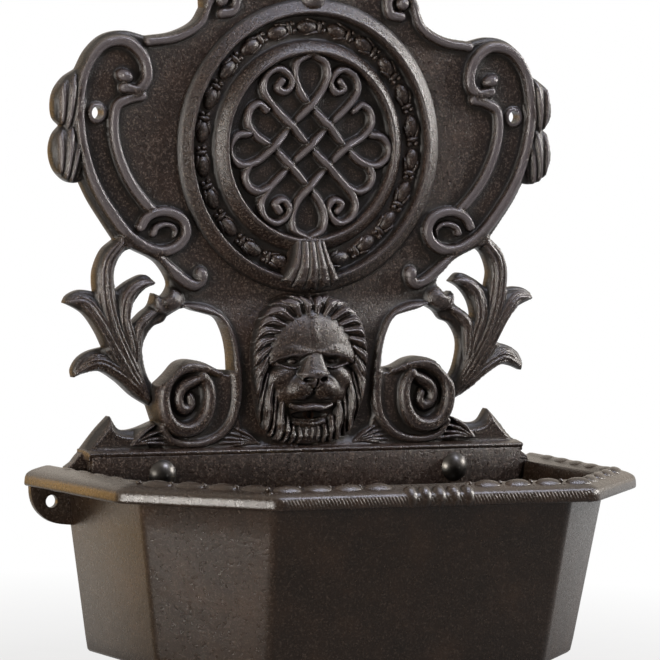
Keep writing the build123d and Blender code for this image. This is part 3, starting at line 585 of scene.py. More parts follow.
sideScrollForms = [
    (plateau, (smoothLine(scrollOutline, closed=True), 10, 18.5, 5), 4),
    (plateau, (smoothLine(acroterionOutline, closed=True), 10, 17.5, 6), 3),
    (dome, (plate["upperEye"], (9, 6.5), 11, 20.5, 2.6, 20), 1.2),
    (ridge, (outerBand, (5.4, 5.2, 5.2, 5.6, 4.4), 11, (18.2, 18.2, 18.6, 19), 4), 1.6),
    (ridge, (voluteComma, (3.4, 3.2, 2.6, 1.8), 11, (19, 18.5, 17.5, 15), 2.6), 1.0),
    (ridge, (innerBand, 4.9, 11, 17.6, 4), 1.6),
    (ridge, (smallScroll, (6.0, 6.0, 5.6, 5.4), 11, (17, 18.5, 19), 3.2), 1.6),
    (dome, ((98.5, 184), (7, 7.5), 11, 19, 3), 1.6),
]
neckForms = [
    (ridge, (tendrilHook, (5, 5.5, 4), 12, (17, 18.5, 17), 2.2), 2),
    (dome, ((126.5, 163), (13.5, 11.5), 12, 20.5, 2.4), 1.6),
    (ridge, (neckLip, (4.8, 7.2, 7.0, 5.4, 4.6, 4.4), 13, (19, 21, 22, 22.5, 23), 3.0), 2.6),
]
scrollHollow = ((113, 83.5), (19, 24), 0, 3.4, 4)
coilForms = [
    (ridge, (scrollRing, (4.2, 6.4, 7.0, 7.2, 5.6), 16, (20.5, 25, 26.5, 26, 24), 3.4), 1.6),
    (ridge, (scrollHeart, (6.0, 6.8, 6.6, 6.2, 5.2), 15, (24.4, 24, 23.4, 22.8, 21.6), 1.9), 2.4),
]
# Ribs on the ledge beside the mask, and at the foot of the scroll
coilForms += fan((44, 44), ((78, 41.5), (82, 45), (80, 49.5), (75, 54), (68, 58)), 1.5,
                 ((1.5, 2.4, 1.2), 16, (20.5, 21.5, 18.5), 2))
coilForms += fan((161, 45.5), ((141, 62), (132, 57), (126, 50.5), (124, 45)), 2,
                 ((1.6, 2.8, 2.2), 15, (19.5, 21.5, 20), 2))
# Small scroll at the foot of the crest, and a flat boss round the wall screw's hole
topForms = [
    (ridge, (crestScroll, 5, 11, 17.5, 3.4), 1.6),
    (dome, ((85, 411), (7, 7), 12, 19.5, 2.6), 1.2),
    (dome, (plate["wallHole"], (9.8, 9.8), 10, 15, 8), 0.8),
]


def leafBlade(grid, points, widths, tops):
    distance, side, share = lineField(grid, smoothLine(points), 16)
    width = np.interp(share, np.linspace(0, 1, len(widths)), widths)
    top = np.interp(share, np.linspace(0, 1, len(tops)), tops)
    reach = distance / width
    flute = leafFlute["rise"] * np.cos(2 * np.pi * distance / leafFlute["spacing"])
    flute = flute * np.clip(width / leafFlute["fullWidth"], 0, 1)
    return np.where(reach < 1.5, top - leafFlute["bladeDrop"] * reach ** 2.2 + flute, absent)


def huskBud(grid, centre, halfSize):
    form = dome(grid, centre, halfSize, bud["foot"], bud["top"], bud["crown"])
    across = (grid["x"][None, :] - centre[0]) / halfSize[0]
    along = (grid["z"][:, None] - centre[1]) / halfSize[1]
    ribs = np.cos(bud["ribs"] * across * (1.1 - bud["narrowing"] * along) + bud["slant"] * along)
    return np.where(form > bud["foot"], form + bud["ribRise"] * ribs, form)


def plateHeight(grid):
    z = grid["z"][:, None]
    foot = np.clip((plate["footTop"] - z) / plate["footFade"], 0, 1)
    height = np.full(grid["shape"], plate["front"]) + plate["footRise"] * foot * foot
    # The neck stands proud behind the mask and fades into the field above it
    neck = plateau(grid, smoothLine(neckOutline, closed=True), 0, plate["neckRise"], 8)
    height = height + np.maximum(neck, 0) * smoothStep((plate["neckTop"] - z) / plate["neckFade"])
    height = addForms(grid, height, sideScrollForms)
    height = addForms(grid, height, [(leafBlade, blade, 0.8) for blade in leafBlades])
    height = addForms(grid, height, neckForms)
    height = height - np.maximum(dome(grid, *scrollHollow), 0)
    height = addForms(grid, height, coilForms)
    height = addForms(grid, height, [(huskBud, sizes, 1.0) for sizes in huskBuds])
    return addForms(grid, height, topForms)


def makePlate():
    bottom, top, reach = plate["ledgeTop"], plate["top"], plate["edgeReach"]
    grid = makeGrid((0, bottom), plate["gridEnd"], plate["pitch"])
    inner, channelTop = plate["channelHalf"], plate["channelTop"]
    sides = cornered(plateEdge)
    seam = ringLine(plate["centre"], plate["medallionHole"], 90, -180, 120)
    foot = np.array([(0, channelTop), (inner, channelTop), (inner, bottom)], float)
    openings = [cornered(bigOpening), cornered(upperOpening)]
    loops = [np.vstack([foot, sides, [(0, top)], seam]), *openings]
    for hole, radius in (("wallHole", "wallHoleRadius"), ("maskScrew", "maskScrewRadius")):
        loops.append(ringLine(plate[hole], plate[radius], count=24)[:-1])
    edge = edgeField(grid, loops, reach)
    shown = [sides, *[np.vstack([loop, loop[:1]]) for loop in openings]]
    toEdge = np.minimum.reduce([lineField(grid, line, reach)[0] for line in shown])
    height = plateHeight(grid) - rounding(toEdge, plate["edgeRound"])
    # The rubbed edges and their painted highlight are strongest on the upper bands, weakest on the scrolls
    # and leaves near the basin
    rubAndSheenShare = np.interp(grid["z"], plate["rubAndSheenHeights"], plate["rubAndSheenShares"])[:, None]
    right = reliefMesh("plateRight", grid, edge, height, plate["back"], rubAndSheenShare)
    left = reliefMesh("plateLeft", grid, edge, height, plate["back"], rubAndSheenShare, True)
    return right, left


plateRight, plateLeft = makePlate()
print("plate halves", len(plateRight.data.polygons))


# Medallion: ringed disc with a woven knot, husk wreath between the rings

medallion = {
    "pitch": 0.7,
    "reach": 122.6,
    "back": 7.0,
    "strand": 4.2,
    "strandFoot": 11.5,
    "strandTop": 18.0,
    "strandCrown": 1.9,
    "weave": 2.3,
    "weaveReach": 6.0,
    "mesh": 17.0,  # half the diagonal of the knot's lattice
    "wreathRadius": 99.0,
    "wreathUnits": 22,
    "wreathDepth": 11.0,
    "ringRubAndSheen": 0.45,
}
# Turned section of the disc: radius and height
discSection = ((0, 11.4), (74.8, 11.4), (77.4, 19.6), (79.2, 20.0), (83, 17.6), (87, 13.6), (88.6, 10.0),
               (108.4, 10.0), (110.2, 19.6), (111.4, 20.2), (113, 19.4), (120.6, 16.0), (122.6, 13.4))
knotDiagonal = [
    (-27, 54), (-31, 48), (-24, 45), (-18, 52), (-22, 60), (-31, 64), (-41, 59), (-44.5, 49), (-41, 40),
    (-19, 18), (0, 0), (19, -18), (41, -40), (44.5, -49), (41, -59), (31, -64), (22, -60), (18, -52),
    (24, -45), (31, -48), (27, -54)]
knotCurl = [
    (41, 30), (48, 34.5), (56, 30), (58, 19), (50.5, 8.5), (34, -1), (17, -17.5), (0, -34), (-11, -47),
    (-15.5, -59), (-13, -70), (0, -77)]
knotLoop = [
    (0, 77), (-13, 70), (-15.5, 59), (-11, 47), (0, 34), (17, 17), (34, -0.5), (49, -13), (63, -16),
    (73, -9.5), (74.5, 0), (68, 8), (57, 10)]
lowerCurl = [(56, -16), (60, -25), (56, -34), (46, -38), (38, -35)]
# Crossings: where they lie and whether the strand that rises to the right passes over
crossings = [((column - row) * medallion["mesh"], (column + row) * medallion["mesh"],
              1 if (row + column) % 2 == 0 else -1) for row in (-1, 0, 1) for column in (-1, 0, 1)]


def strand(grid, points, mirrored, risesRight):
    flip = -1 if mirrored else 1
    middle = plate["centre"][1]
    line = smoothLine([(flip * x, z + middle) for x, z in points], 1.5)
    form = ridge(grid, line, medallion["strand"], medallion["strandFoot"], medallion["strandTop"],
                 medallion["strandCrown"])
    for x, z, over in crossings:
        dx = grid["x"][None, :] - x
        dz = grid["z"][:, None] - z - middle
        bell = np.exp(-(dx * dx + dz * dz) / (2 * medallion["weaveReach"] ** 2))
        form = form + (over if risesRight else -over) * medallion["weave"] * bell
    return form


def knotHeight(grid, ground):
    for mirrored in (False, True):
        for points in (knotDiagonal, knotCurl, knotLoop, lowerCurl):
            risesRight = mirrored != (points is knotCurl)
            ground = meet(ground, strand(grid, points, mirrored, risesRight), 0.8)
    return ground


def makeMedallion():
    reach = medallion["reach"]
    x, z = plate["centre"]
    grid = makeGrid((x - reach - 1, z - reach - 1), (x + reach + 1, z + reach + 1), medallion["pitch"])
    radius = np.hypot(grid["x"][None, :] - x, grid["z"][:, None] - z)
    height = boxBlur(np.interp(radius, *zip(*discSection)), 1)
    height = knotHeight(grid, height)
    # The rings get less rubbed edge and painted highlight than the knot
    rubAndSheenShare = np.where(radius < discSection[1][0], 1, medallion["ringRubAndSheen"])
    return reliefMesh("medallionDisc", grid, reach - radius, height, medallion["back"], rubAndSheenShare)


medallionDisc = makeMedallion()
print("medallion", len(medallionDisc.data.polygons))


# Geometry Nodes tree that sets a unit along a line

def repeatTree():
    tree = bpy.data.node_groups.new("unitsAlongLine", "GeometryNodeTree")
    face = tree.interface
    face.new_socket("Geometry", in_out="INPUT", socket_type="NodeSocketGeometry")
    face.new_socket("Unit", in_out="INPUT", socket_type="NodeSocketObject")
    face.new_socket("Count", in_out="INPUT", socket_type="NodeSocketInt")
    face.new_socket("Facing", in_out="INPUT", socket_type="NodeSocketVector")
    face.new_socket("Material", in_out="INPUT", socket_type="NodeSocketMaterial")
    face.new_socket("Geometry", in_out="OUTPUT", socket_type="NodeSocketGeometry")
    given = addNode(tree, "NodeGroupInput").outputs
    points = addNode(tree, "GeometryNodeCurveToPoints", {"mode": "COUNT"}, {
        "Curve": given["Geometry"], "Count": given["Count"]}).outputs
    unit = addNode(tree, "GeometryNodeObjectInfo", feeds={"Object": given["Unit"]}).outputs["Geometry"]
    along = addNode(tree, "FunctionNodeAlignRotationToVector", {"axis": "X"}, {"Vector": points["Tangent"]})
    turned = addNode(tree, "FunctionNodeAlignRotationToVector", {"axis": "Z", "pivot_axis": "X"}, {
        "Rotation": along.outputs[0], "Vector": given["Facing"]})
    placed = addNode(tree, "GeometryNodeInstanceOnPoints", feeds={
        "Points": points["Points"], "Instance": unit, "Rotation": turned.outputs[0]})
    real = addNode(tree, "GeometryNodeRealizeInstances", feeds={"Geometry": placed.outputs[0]})
    dressed = addNode(tree, "GeometryNodeSetMaterial", feeds={
        "Geometry": real.outputs[0], "Material": given["Material"]})
    smooth = addNode(tree, "GeometryNodeSetShadeSmooth", feeds={"Geometry": dressed.outputs[0]})
    addNode(tree, "NodeGroupOutput", feeds={"Geometry": smooth.outputs[0]})
    return tree


alongLine = repeatTree()


def repeatUnit(name, line, closed, unit, count, facing, material):
    curve = bpy.data.curves.new(name, "CURVE")
    curve.dimensions = "3D"
    spline = curve.splines.new("POLY")
    spline.points.add(len(line) - 1)
    for point, place in zip(spline.points, line):
        point.co = (*[value * mm for value in place], 1)
    spline.use_cyclic_u = closed
    holder = newObject(name, curve)
    modifier = holder.modifiers.new("units", "NODES")
    modifier.node_group = alongLine
    values = {"Unit": unit, "Count": count, "Facing": facing, "Material": material}
    for item in alongLine.interface.items_tree:
        if item.in_out == "INPUT" and item.name in values:
            modifier[item.identifier] = values[item.name]
    mesh = asMesh(holder, name)
    bpy.data.objects.remove(unit)
    return mesh


def pebbles(name, pebbleList, rings=8, around=12):
    # A unit built of stretched balls: place, half sizes and turns about its own three axes
    builder = bmesh.new()
    for place, halfSize, turns in pebbleList:
        matrix = Matrix.Translation(Vector(place) * mm)
        for axis, turn in zip("XYZ", turns):
            matrix = matrix @ Matrix.Rotation(math.radians(turn), 4, axis)
        matrix = matrix @ Matrix.Diagonal((*[size * mm for size in halfSize], 1))
        bmesh.ops.create_uvsphere(builder, u_segments=around, v_segments=rings, radius=1, matrix=matrix)
    return newObject(name, meshFrom(builder, name))


husk = [((3.5, 0, -0.4), (9.5, 6.0, 4.4), (0, 0, 0)), ((-1.5, 5.0, -1), (6.5, 1.9, 3.4), (0, 0, 16)),
        ((-1.5, -5.0, -1), (6.5, 1.9, 3.4), (0, 0, -16)), ((-8, 0, -0.8), (2.6, 6.0, 3.6), (0, 0, 0)),
        ((-11.8, 3.0, -0.6), (2.3, 2.5, 3.2), (0, 0, 0)), ((-11.8, -3.0, -0.6), (2.3, 2.5, 3.2), (0, 0, 0))]
wreathCircle = ringLine(plate["centre"], medallion["wreathRadius"], -90, 360, 120)[:-1]
wreathLine = [(x, -medallion["wreathDepth"], z) for x, z in wreathCircle]
wreath = addPiece("huskWreath", repeatUnit("huskWreath", wreathLine, True, pebbles("husk", husk),
                                           medallion["wreathUnits"], (0, -1, 0), iron), iron)
print("wreath", len(wreath.data.polygons))


# Gathered drapery that hangs over the rings

drapery = {
    "pitch": 0.6,
    "gridHalf": 35,
    "top": 213.0,
    "bottom": 172.0,
    "halfTop": 15.0,
    "halfBottom": 33.0,
    "flare": 1.7,
    "back": 9.0,
    "falls": (0, 0.3, 0.55, 0.8, 1),  # bulges at half height and turns under at the hem
    "front": (20.5, 24.5, 26.6, 25.2, 20.5),
    "folds": 5,
    "foldRise": 2.2,
    "hemRise": 9.0,
    "hemWave": 1.4,
    "sideFall": 5.0,
    "edgeRound": 2,
}


def makeDrapery():
    top, bottom = drapery["top"], drapery["bottom"]
    wide = drapery["gridHalf"]
    grid = makeGrid((-wide, bottom - 2), (wide, top + 2), drapery["pitch"])
    z = grid["z"][:, None]
    fall = np.clip((top - z) / (top - bottom), 0, 1)
    half = drapery["halfTop"] + (drapery["halfBottom"] - drapery["halfTop"]) * fall ** drapery["flare"]
    across = grid["x"][None, :] / half
    phase = across * np.pi * drapery["folds"]
    hem = bottom + drapery["hemRise"] * across ** 2 + drapery["hemWave"] * np.cos(phase)
    edge = np.minimum((1 - np.abs(across)) * half, z - hem)
    edge = np.minimum(edge, top - z)
    height = np.interp(fall, drapery["falls"], drapery["front"])
    height = height + drapery["foldRise"] * np.abs(np.cos(phase / 2)) ** 0.7
    height = height - drapery["sideFall"] * np.abs(across) ** 3
    height = height - rounding(np.maximum(edge, 0), drapery["edgeRound"])
    return reliefMesh("drapery", grid, edge, height, drapery["back"])


draperyPiece = makeDrapery()


# Lion mask

mask = {
    "pitch": 0.5,
    "back": 14.0,
    "gridLow": (-57, 41),
    "gridHigh": (57, 171),
    "edgeRound": 3.0,
    "edgeReach": 15,
    "brim": 14.4,
    "brimRise": 5.5,
    "browZ": 113.0,
    "browPlaces": (0, 6, 12, 22, 32, 41),
    "browHeights": (121, 120, 118.6, 118, 115.5, 110),
    "foreheadHalf": (41.5, 41.0),
    "foreheadFoot": 22.5,
    "foreheadRise": 10.5,
    "underBrow": 2.6,  # how steeply the forehead falls back under the brow
    "lockReach": 8,
    "lockDrop": 5,
    "strandPitch": 2.6,
    "strandRise": 0.45,
    "mouthZ": 67.6,
    "mouthHalf": (18.5, 3.6),
    "mouthFloor": 19.0,
    "rubAndSheenHeights": (50, 135),
    "rubAndSheenShares": (0.35, 0.9),
}
maskOutline = [
    (0, 167), (14, 168.5), (27, 166), (37, 160), (45, 152), (50, 142), (53, 130), (54, 118), (53, 104),
    (51.5, 90), (49, 76), (45, 62), (37, 51), (24, 45), (0, 42.4)]
# Locks of the mane on the right: start, middle and end
underLocks = [
    [(0, 153), (0, 160), (0, 166)], [(8, 153), (11, 162), (17, 166.5)], [(16, 151), (25, 159), (35, 160)],
    [(23, 147), (36, 152), (48, 147.5)], [(29, 141.5), (43, 143.5), (53, 136)],
    [(34, 136), (47, 134), (54, 124.5)], [(38, 129), (49, 123.5), (54, 113)],
    [(41, 121), (49, 112), (53.5, 99)]]
upperLocks = [
    [(4, 152), (5, 160), (9, 165)], [(12, 151.5), (17, 159.5), (26, 162)],
    [(19, 148), (31, 154.5), (42, 151)], [(26, 143), (40, 146.5), (50, 139)],
    [(31, 138), (45, 138), (53, 128)], [(36, 131.5), (47.5, 128), (54, 117)],
    [(39.5, 124), (49, 117), (54, 105)], [(41.5, 116), (48, 105), (52, 91)]]
# Locks that hang down the cheek and over the chin: line, half width and top
hangingLocks = [
    ([(42, 110), (48.5, 97), (50, 82), (46.5, 70)], 4.2, 28),
    ([(40, 102), (44, 87), (46, 71), (43.5, 57)], 3.6, 26),
    ([(36.5, 95), (39.5, 80), (38.5, 65), (41, 51)], 4.6, 28.5),
    ([(32, 86), (33.5, 72), (33, 59), (36, 47)], 3.4, 26.5),
    ([(26.5, 78), (28, 66), (26.5, 56), (29.5, 44)], 4.4, 28.5),
    ([(21, 66), (21.5, 58), (20.5, 51), (23, 43.5)], 3.6, 27),
    ([(15, 58), (15.5, 53), (14.5, 48), (16, 43.2)], 3.4, 26.4),
    ([(8.8, 57), (9, 52), (8, 47.5), (9.4, 42.9)], 3.2, 26),
    ([(2.8, 57), (3, 52), (2.4, 47), (3, 42.7)], 3.0, 25.6)]


def lock(grid, points, widths, tops):
    # A tapering lock with fine strands along it
    distance, side, share = lineField(grid, smoothLine(points), mask["lockReach"])
    width = np.interp(share, (0, 0.5, 1), widths)
    top = np.interp(share, (0, 0.5, 1), tops)
    strands = mask["strandRise"] * np.cos(2 * np.pi * (side * distance / mask["strandPitch"] + 0.25))
    reach = distance / width
    return np.where(reach < 1.6, top - mask["lockDrop"] * reach ** 2.2 + strands, absent)


def maneForms():
    locks = [(points, (3, 4.2, 2.0), (25, 25.5, 20.5)) for points in underLocks]
    locks += [(points, (3, 4.6, 2.2), (27.5, 29, 23)) for points in upperLocks]
    for points, half, top in hangingLocks:
        locks.append((points, (0.6 * half, half, 0.5 * half), (top - 1, top, top - 5)))
    return [(lock, ([(flip * x, z) for x, z in points], widths, tops), 0.5)
            for flip in (1, -1) for points, widths, tops in locks]


def faceSide(side):
    # Brow bulge, eye socket, eye, lower lid, cheek, jowl and muzzle lobe of one half
    brow = [(side * 5, 119), (side * 17, 121), (side * 34, 116.5)]
    lid = [(side * 11, 109), (side * 18, 107), (side * 33, 110.5)]
    return [
        (ridge, (brow, (5, 8, 5), 26, (31.8, 31.4, 27.6), 2), 5),
        (dome, ((side * 19.5, 112.6), (11.5, 6), 16, 27, 2), 1, 50),
        (dome, ((side * 18, 112.8), (6.6, 4.0), 21, 28, 2), 0.6),
        (ridge, (lid, 1.8, 23, 28.4, 2), 1),
        (dome, ((side * 26, 100), (19, 12), 20, 29.6, 2.4, -32 * side), 4.5),
        (dome, ((side * 19, 89), (18, 15), 22, 29.5, 2.4, -20 * side), 4),
        (dome, ((side * 11, 90.5), (15.5, 12.5), 24, 36, 2.6, -20 * side), 3.5),
    ]


furrow = [(0, 148), (0, 141), (0, 132)]
bridge = [(0, 124), (0, 113), (0, 103)]
noseGroove = [(0, 98), (0, 90), (0, 82)]
lipGroove = [(-22, 80.5), (0, 79), (22, 80.5)]
upperLip = [(-18, 76), (-9, 74.2), (0, 75), (9, 74.2), (18, 76)]
lowerLip = [(-14, 61.5), (0, 60), (14, 61.5)]
faceForms = [
    (ridge, (furrow, 5, (26.8, 29.0, 30.6), (28.3, 30.6, 32.2), 2), 1.5),
    *faceSide(1),
    *faceSide(-1),
    # Nose: flat bridge that widens to the tip, with nostrils under it
    (ridge, (bridge, (7, 10.5, 15), 25, (31.5, 35, 38.5), 4.5), 2),
    (dome, ((0, 102.5), (15, 5.5), 28, 39, 3.4), 1.5),
    (dome, ((7.5, 98), (6, 3), 22, 31.5, 2), 1, 61),
    (dome, ((-7.5, 98), (6, 3), 22, 31.5, 2), 1, 61),
    (ridge, (noseGroove, (1.6, 1.4, 1.8), 20, (31, 30, 31), 2), 0.8, 60),
    (ridge, (lipGroove, (2, 2.6, 2), 20, (26, 28, 26), 2), 1, 54),
    (ridge, (upperLip, (2.6, 4.4, 4.4, 2.6), 24, (29, 34, 34, 29), 2.4), 1),
]
chinForms = [
    (ridge, (lowerLip, (2.4, 3.4, 2.4), 22, (24, 26, 24), 2.2), 2.5),
    (dome, ((0, 52), (18, 12), 19, 24.6, 2.6), 2.5),
]


def makeMask():
    grid = makeGrid(mask["gridLow"], mask["gridHigh"], mask["pitch"])
    right = smoothLine(maskOutline)
    loop = np.vstack([right, right[-2:0:-1] * (-1, 1)])
    edge = edgeField(grid, [loop], mask["edgeReach"])
    x = np.broadcast_to(grid["x"][None, :], grid["shape"])
    z = np.broadcast_to(grid["z"][:, None], grid["shape"])
    height = mask["brim"] + mask["brimRise"] * smoothStep((edge - 4) / 10)
    # Face: the broad ground, and a forehead dome that overhangs the eyes, with a faint furrow
    height = meet(height, dome(grid, (0, 98), (39, 46), 18, 27, 2.6), 1.5)
    brow = np.interp(np.abs(x), mask["browPlaces"], mask["browHeights"])
    halfX, halfZ = mask["foreheadHalf"]
    swell = 1 - (x / halfX) ** 2 - (np.maximum(z - mask["browZ"], 0) / halfZ) ** 2
    forehead = mask["foreheadFoot"] + mask["foreheadRise"] * np.sqrt(np.maximum(swell, 0))
    forehead = np.where(swell > 0, forehead - mask["underBrow"] * np.maximum(brow - z, 0), absent)
    height = meet(height, forehead, 1.5)
    height = addForms(grid, height, faceForms)
    # Open mouth, then the chin and the mane
    halfX, halfZ = mask["mouthHalf"]
    mouth = np.hypot(x / halfX, (z - mask["mouthZ"]) / halfZ)
    throat = mask["mouthFloor"] + 9 * np.maximum(mouth - 0.7, 0) ** 2 / 0.16
    height = np.where(mouth < 1.2, np.minimum(height, throat), height)
    height = addForms(grid, height, chinForms + maneForms())
    height = height - rounding(np.maximum(edge, 0), mask["edgeRound"])
    # Rubbed edges and their painted highlight grow stronger towards the top of the mask
    rubAndSheenShare = np.interp(grid["z"], mask["rubAndSheenHeights"], mask["rubAndSheenShares"])[:, None]
    return reliefMesh("lionMask", grid, edge, height, mask["back"], rubAndSheenShare)


maskPiece = makeMask()
print("mask", len(maskPiece.data.polygons))


# Crest: a palmette of rounded lobes

crest = {
    "pitch": 0.7,
    "gridLow": (-56, 392),
    "gridHigh": (56, 474),
    "centre": (0.0, 418.0),
    "heart": 24.0,
    "lobes": 7,
    "lobeRing": 30.0,
    "lobeHalf": (22.0, 8.5),
    "lobeFoot": 12,
    "lobeTop": 20,
    "grooveShare": 0.8,
    "grooveHalf": 1.8,
    "grooveDepth": 2.2,
    "start": 12.0,
    "spread": 182.0,
    "back": 3.6,
    "ground": 13.0,
    "lowest": 9.0,
    "seamGap": 0.5,
    "edgeRound": 2,
}


def makeCrest():
    x, z = crest["centre"]
    grid = makeGrid(crest["gridLow"], crest["gridHigh"], crest["pitch"])
    long, short = crest["lobeHalf"]
    edge = crest["heart"] - np.hypot(grid["x"][None, :] - x, grid["z"][:, None] - z)
    height = np.where(edge > 0, crest["ground"], absent)
    for k in range(crest["lobes"]):
        turn = crest["start"] + crest["spread"] * k / crest["lobes"]
        angle = math.radians(turn)
        centre = (x + crest["lobeRing"] * math.cos(angle), z + crest["lobeRing"] * math.sin(angle))
        reach = 1 - dome(grid, centre, (long, short), 0, 1, 1, turn)
        edge = np.maximum(edge, np.where(reach < 2, (1 - reach) * short, -9))
        lobe = dome(grid, centre, (long, short), crest["lobeFoot"], crest["lobeTop"], 2, turn)
        grooveHalf = (long * crest["grooveShare"], crest["grooveHalf"])
        groove = dome(grid, centre, grooveHalf, 0, crest["grooveDepth"], 2, turn)
        height = meet(height, lobe - np.maximum(groove, 0), 0.8)
    height = meet(height, dome(grid, (x, z - 4), (13, 13), 13, 23, 2.4), 1)
    seam = plate["centre"][1] + plate["medallionHole"] + crest["seamGap"]
    edge = np.minimum(edge, grid["z"][:, None] - seam)
    height = np.maximum(height, crest["lowest"]) - rounding(np.maximum(edge, 0), crest["edgeRound"])
    return reliefMesh("crestPalmette", grid, edge, height, crest["back"])


crestPiece = makeCrest()


# Ledge and the flange that hangs inside the basin; prisms with softened edges

def prism(outline, low, high, place):
    # An outline of flat points, raised from low to high; place turns a point into x, y, z
    builder = bmesh.new()
    ends = []
    for level in (low, high):
        ends.append([builder.verts.new(Vector(place(*point, level)) * mm) for point in outline])
    count = len(outline)
    for k in range(count):
        after = (k + 1) % count
        builder.faces.new((ends[0][k], ends[0][after], ends[1][after], ends[1][k]))
    builder.faces.new(ends[0][::-1])
    builder.faces.new(ends[1])
    return closedMesh(builder, "prism")


sharpCasting = 40  # angle in degrees above which an edge of the ledge or the basin shades sharp


def softened(name, meshes, material, width, segments=3, angle=30):
    holder = addPiece(name, join(meshes, name), material)
    bevel = holder.modifiers.new("edges", "BEVEL")
    bevel.width = width * mm
    bevel.segments = segments
    bevel.limit_method = "ANGLE"
    bevel.angle_limit = math.radians(angle)
    mesh = asMesh(holder, name)
    piece = addPiece(name, mesh, material)
    mesh.set_sharp_from_angle(angle=math.radians(sharpCasting))
    return piece


ledge = {
    "half": 204.0,
    "rear": 3.2,
    "flangeHalf": 201.0,
    "flangeBack": 22.0,
    "flangeFront": 28.0,
    "flangeBottom": 4.0,
    "flangeTop": 37.0,
    # Moulded section of the ledge, from its underside in front up to its top: depth and height
    "section": ((27.4, 34), (27.4, 37), (28.8, 38), (28.8, 40), (27, 40.8), (17, 42.5)),
    "channelHalf": 9.5,
    "channelDepth": 14.5,
    "web": ((188, 38), (203, 41), (207, 37), (211, 32), (217, 28), (217, 24), (188, 24)),
    "webBack": 3.6,
    "webFront": 14.0,
}


def alongX(depth, z, x):
    return (x, -depth, z)


def onWall(x, z, depth):
    return (x, -depth, z)


def inPlan(x, y, z):
    return (x, y, z)


def makeLedge():
    half, channel, rear = ledge["half"], ledge["channelHalf"], ledge["rear"]
    section = ledge["section"]
    meshes = []
    for low, high, back in ((-half, -channel, rear), (-channel, channel, ledge["channelDepth"]),
                            (channel, half, rear)):
        closed = [(back, section[0][1]), *section, (back, section[-1][1])]
        meshes.append(prism(closed, low, high, alongX))
    wide, bottom, top = ledge["flangeHalf"], ledge["flangeBottom"], ledge["flangeTop"]
    flange = ((-wide, bottom), (wide, bottom), (wide, top), (-wide, top))
    meshes.append(prism(flange, ledge["flangeBack"], ledge["flangeFront"], onWall))
    for side in (1, -1):
        web = [(side * x, z) for x, z in ledge["web"]]
        meshes.append(prism(web, ledge["webBack"], ledge["webFront"], onWall))
    return softened("ledgeAndFlange", meshes, iron, 1.2)


ledgePiece = makeLedge()


# Basin: leaning walls on a half-octagon plan with a flared rim

basinLow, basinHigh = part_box("basin")
basin = {
    "depth": -basinLow.y / mm,
    "bottom": basinLow.z / mm,
    "halfWidth": 240.0,
    "corner": 94.0,
    "rimSplay": 9.0,
    "wallSplay": -3.0,
    "rimTop": 29.0,
    "rimHeight": 16.0,
    "overhang": 25.0,
    "dip": 6.0,
    "wall": 6.0,
    "floor": 7.0,
    "floorLift": 0.3,  # keeps the floor's underside off the walls' own
    "footRound": 2.0,
    "tuck": 2.0,  # how far the floor and the back wall run into the walls
    "lean": math.tan(math.radians(9.4)),
    "backGap": 16.0,
    "backWall": 6.0,
    "backTop": 33.0,
    "backShoulder": (25.0, 26.0),
    "backHalf": 201.0,
    "cornerRound": 5.0,
    "cornerPoints": 5,
    "ear": (226.8, 0.0),
    "earHole": 5.25,
    "earBack": 0.4,
    "earThickness": 6.0,
    "drain": (0.0, 60.0),
    "drainHole": 17.4,
}
# Rim section from the wall up and outwards: shares of the overhang and of the rim's height
rimSection = [(0, -0.1), (0.2, -0.08), (0.8, -0.03), (0.96, -0.01), (1, 0.06), (1, 0.28), (0.98, 0.48),
              (0.93, 0.62), (0.78, 0.77), (0.5, 0.91), (0.25, 1)]
earEdge = [(246, 14), (245, 4), (242, -4), (235, -12), (225, -17.5), (203, -20.5)]
earRoot = (209, 14)


def wallInset(z):
    return basin["overhang"] + (basin["rimTop"] - basin["rimHeight"] - z) * basin["lean"]


def basinPlan(inset, back, splay):
    # Plan line from the wall on the right round the front to the wall on the left, corners rounded
    slip = inset * math.tan(math.radians(22.5))
    side = basin["halfWidth"] - inset
    cornerX = basin["halfWidth"] - basin["corner"] - slip
    cornerY = basin["depth"] - basin["corner"] - slip
    rear = side + splay * (cornerY - back) / (basin["depth"] - basin["corner"])
    right = [(rear, -back), (side, -cornerY), (cornerX, inset - basin["depth"])]
    corners = right + [(-x, y) for x, y in reversed(right)]
    line = [corners[0]]
    for before, here, after in zip(corners, corners[1:], corners[2:]):
        p, q, r = (np.array(point) for point in (before, here, after))
        toP, toR = (p - q) / np.linalg.norm(p - q), (r - q) / np.linalg.norm(r - q)
        for t in np.linspace(0, 1, basin["cornerPoints"]):
            a, b = q + toP * basin["cornerRound"], q + toR * basin["cornerRound"]
            line.append(tuple((1 - t) ** 2 * a + 2 * t * (1 - t) * q + t * t * b))
    return line + [corners[-1]]


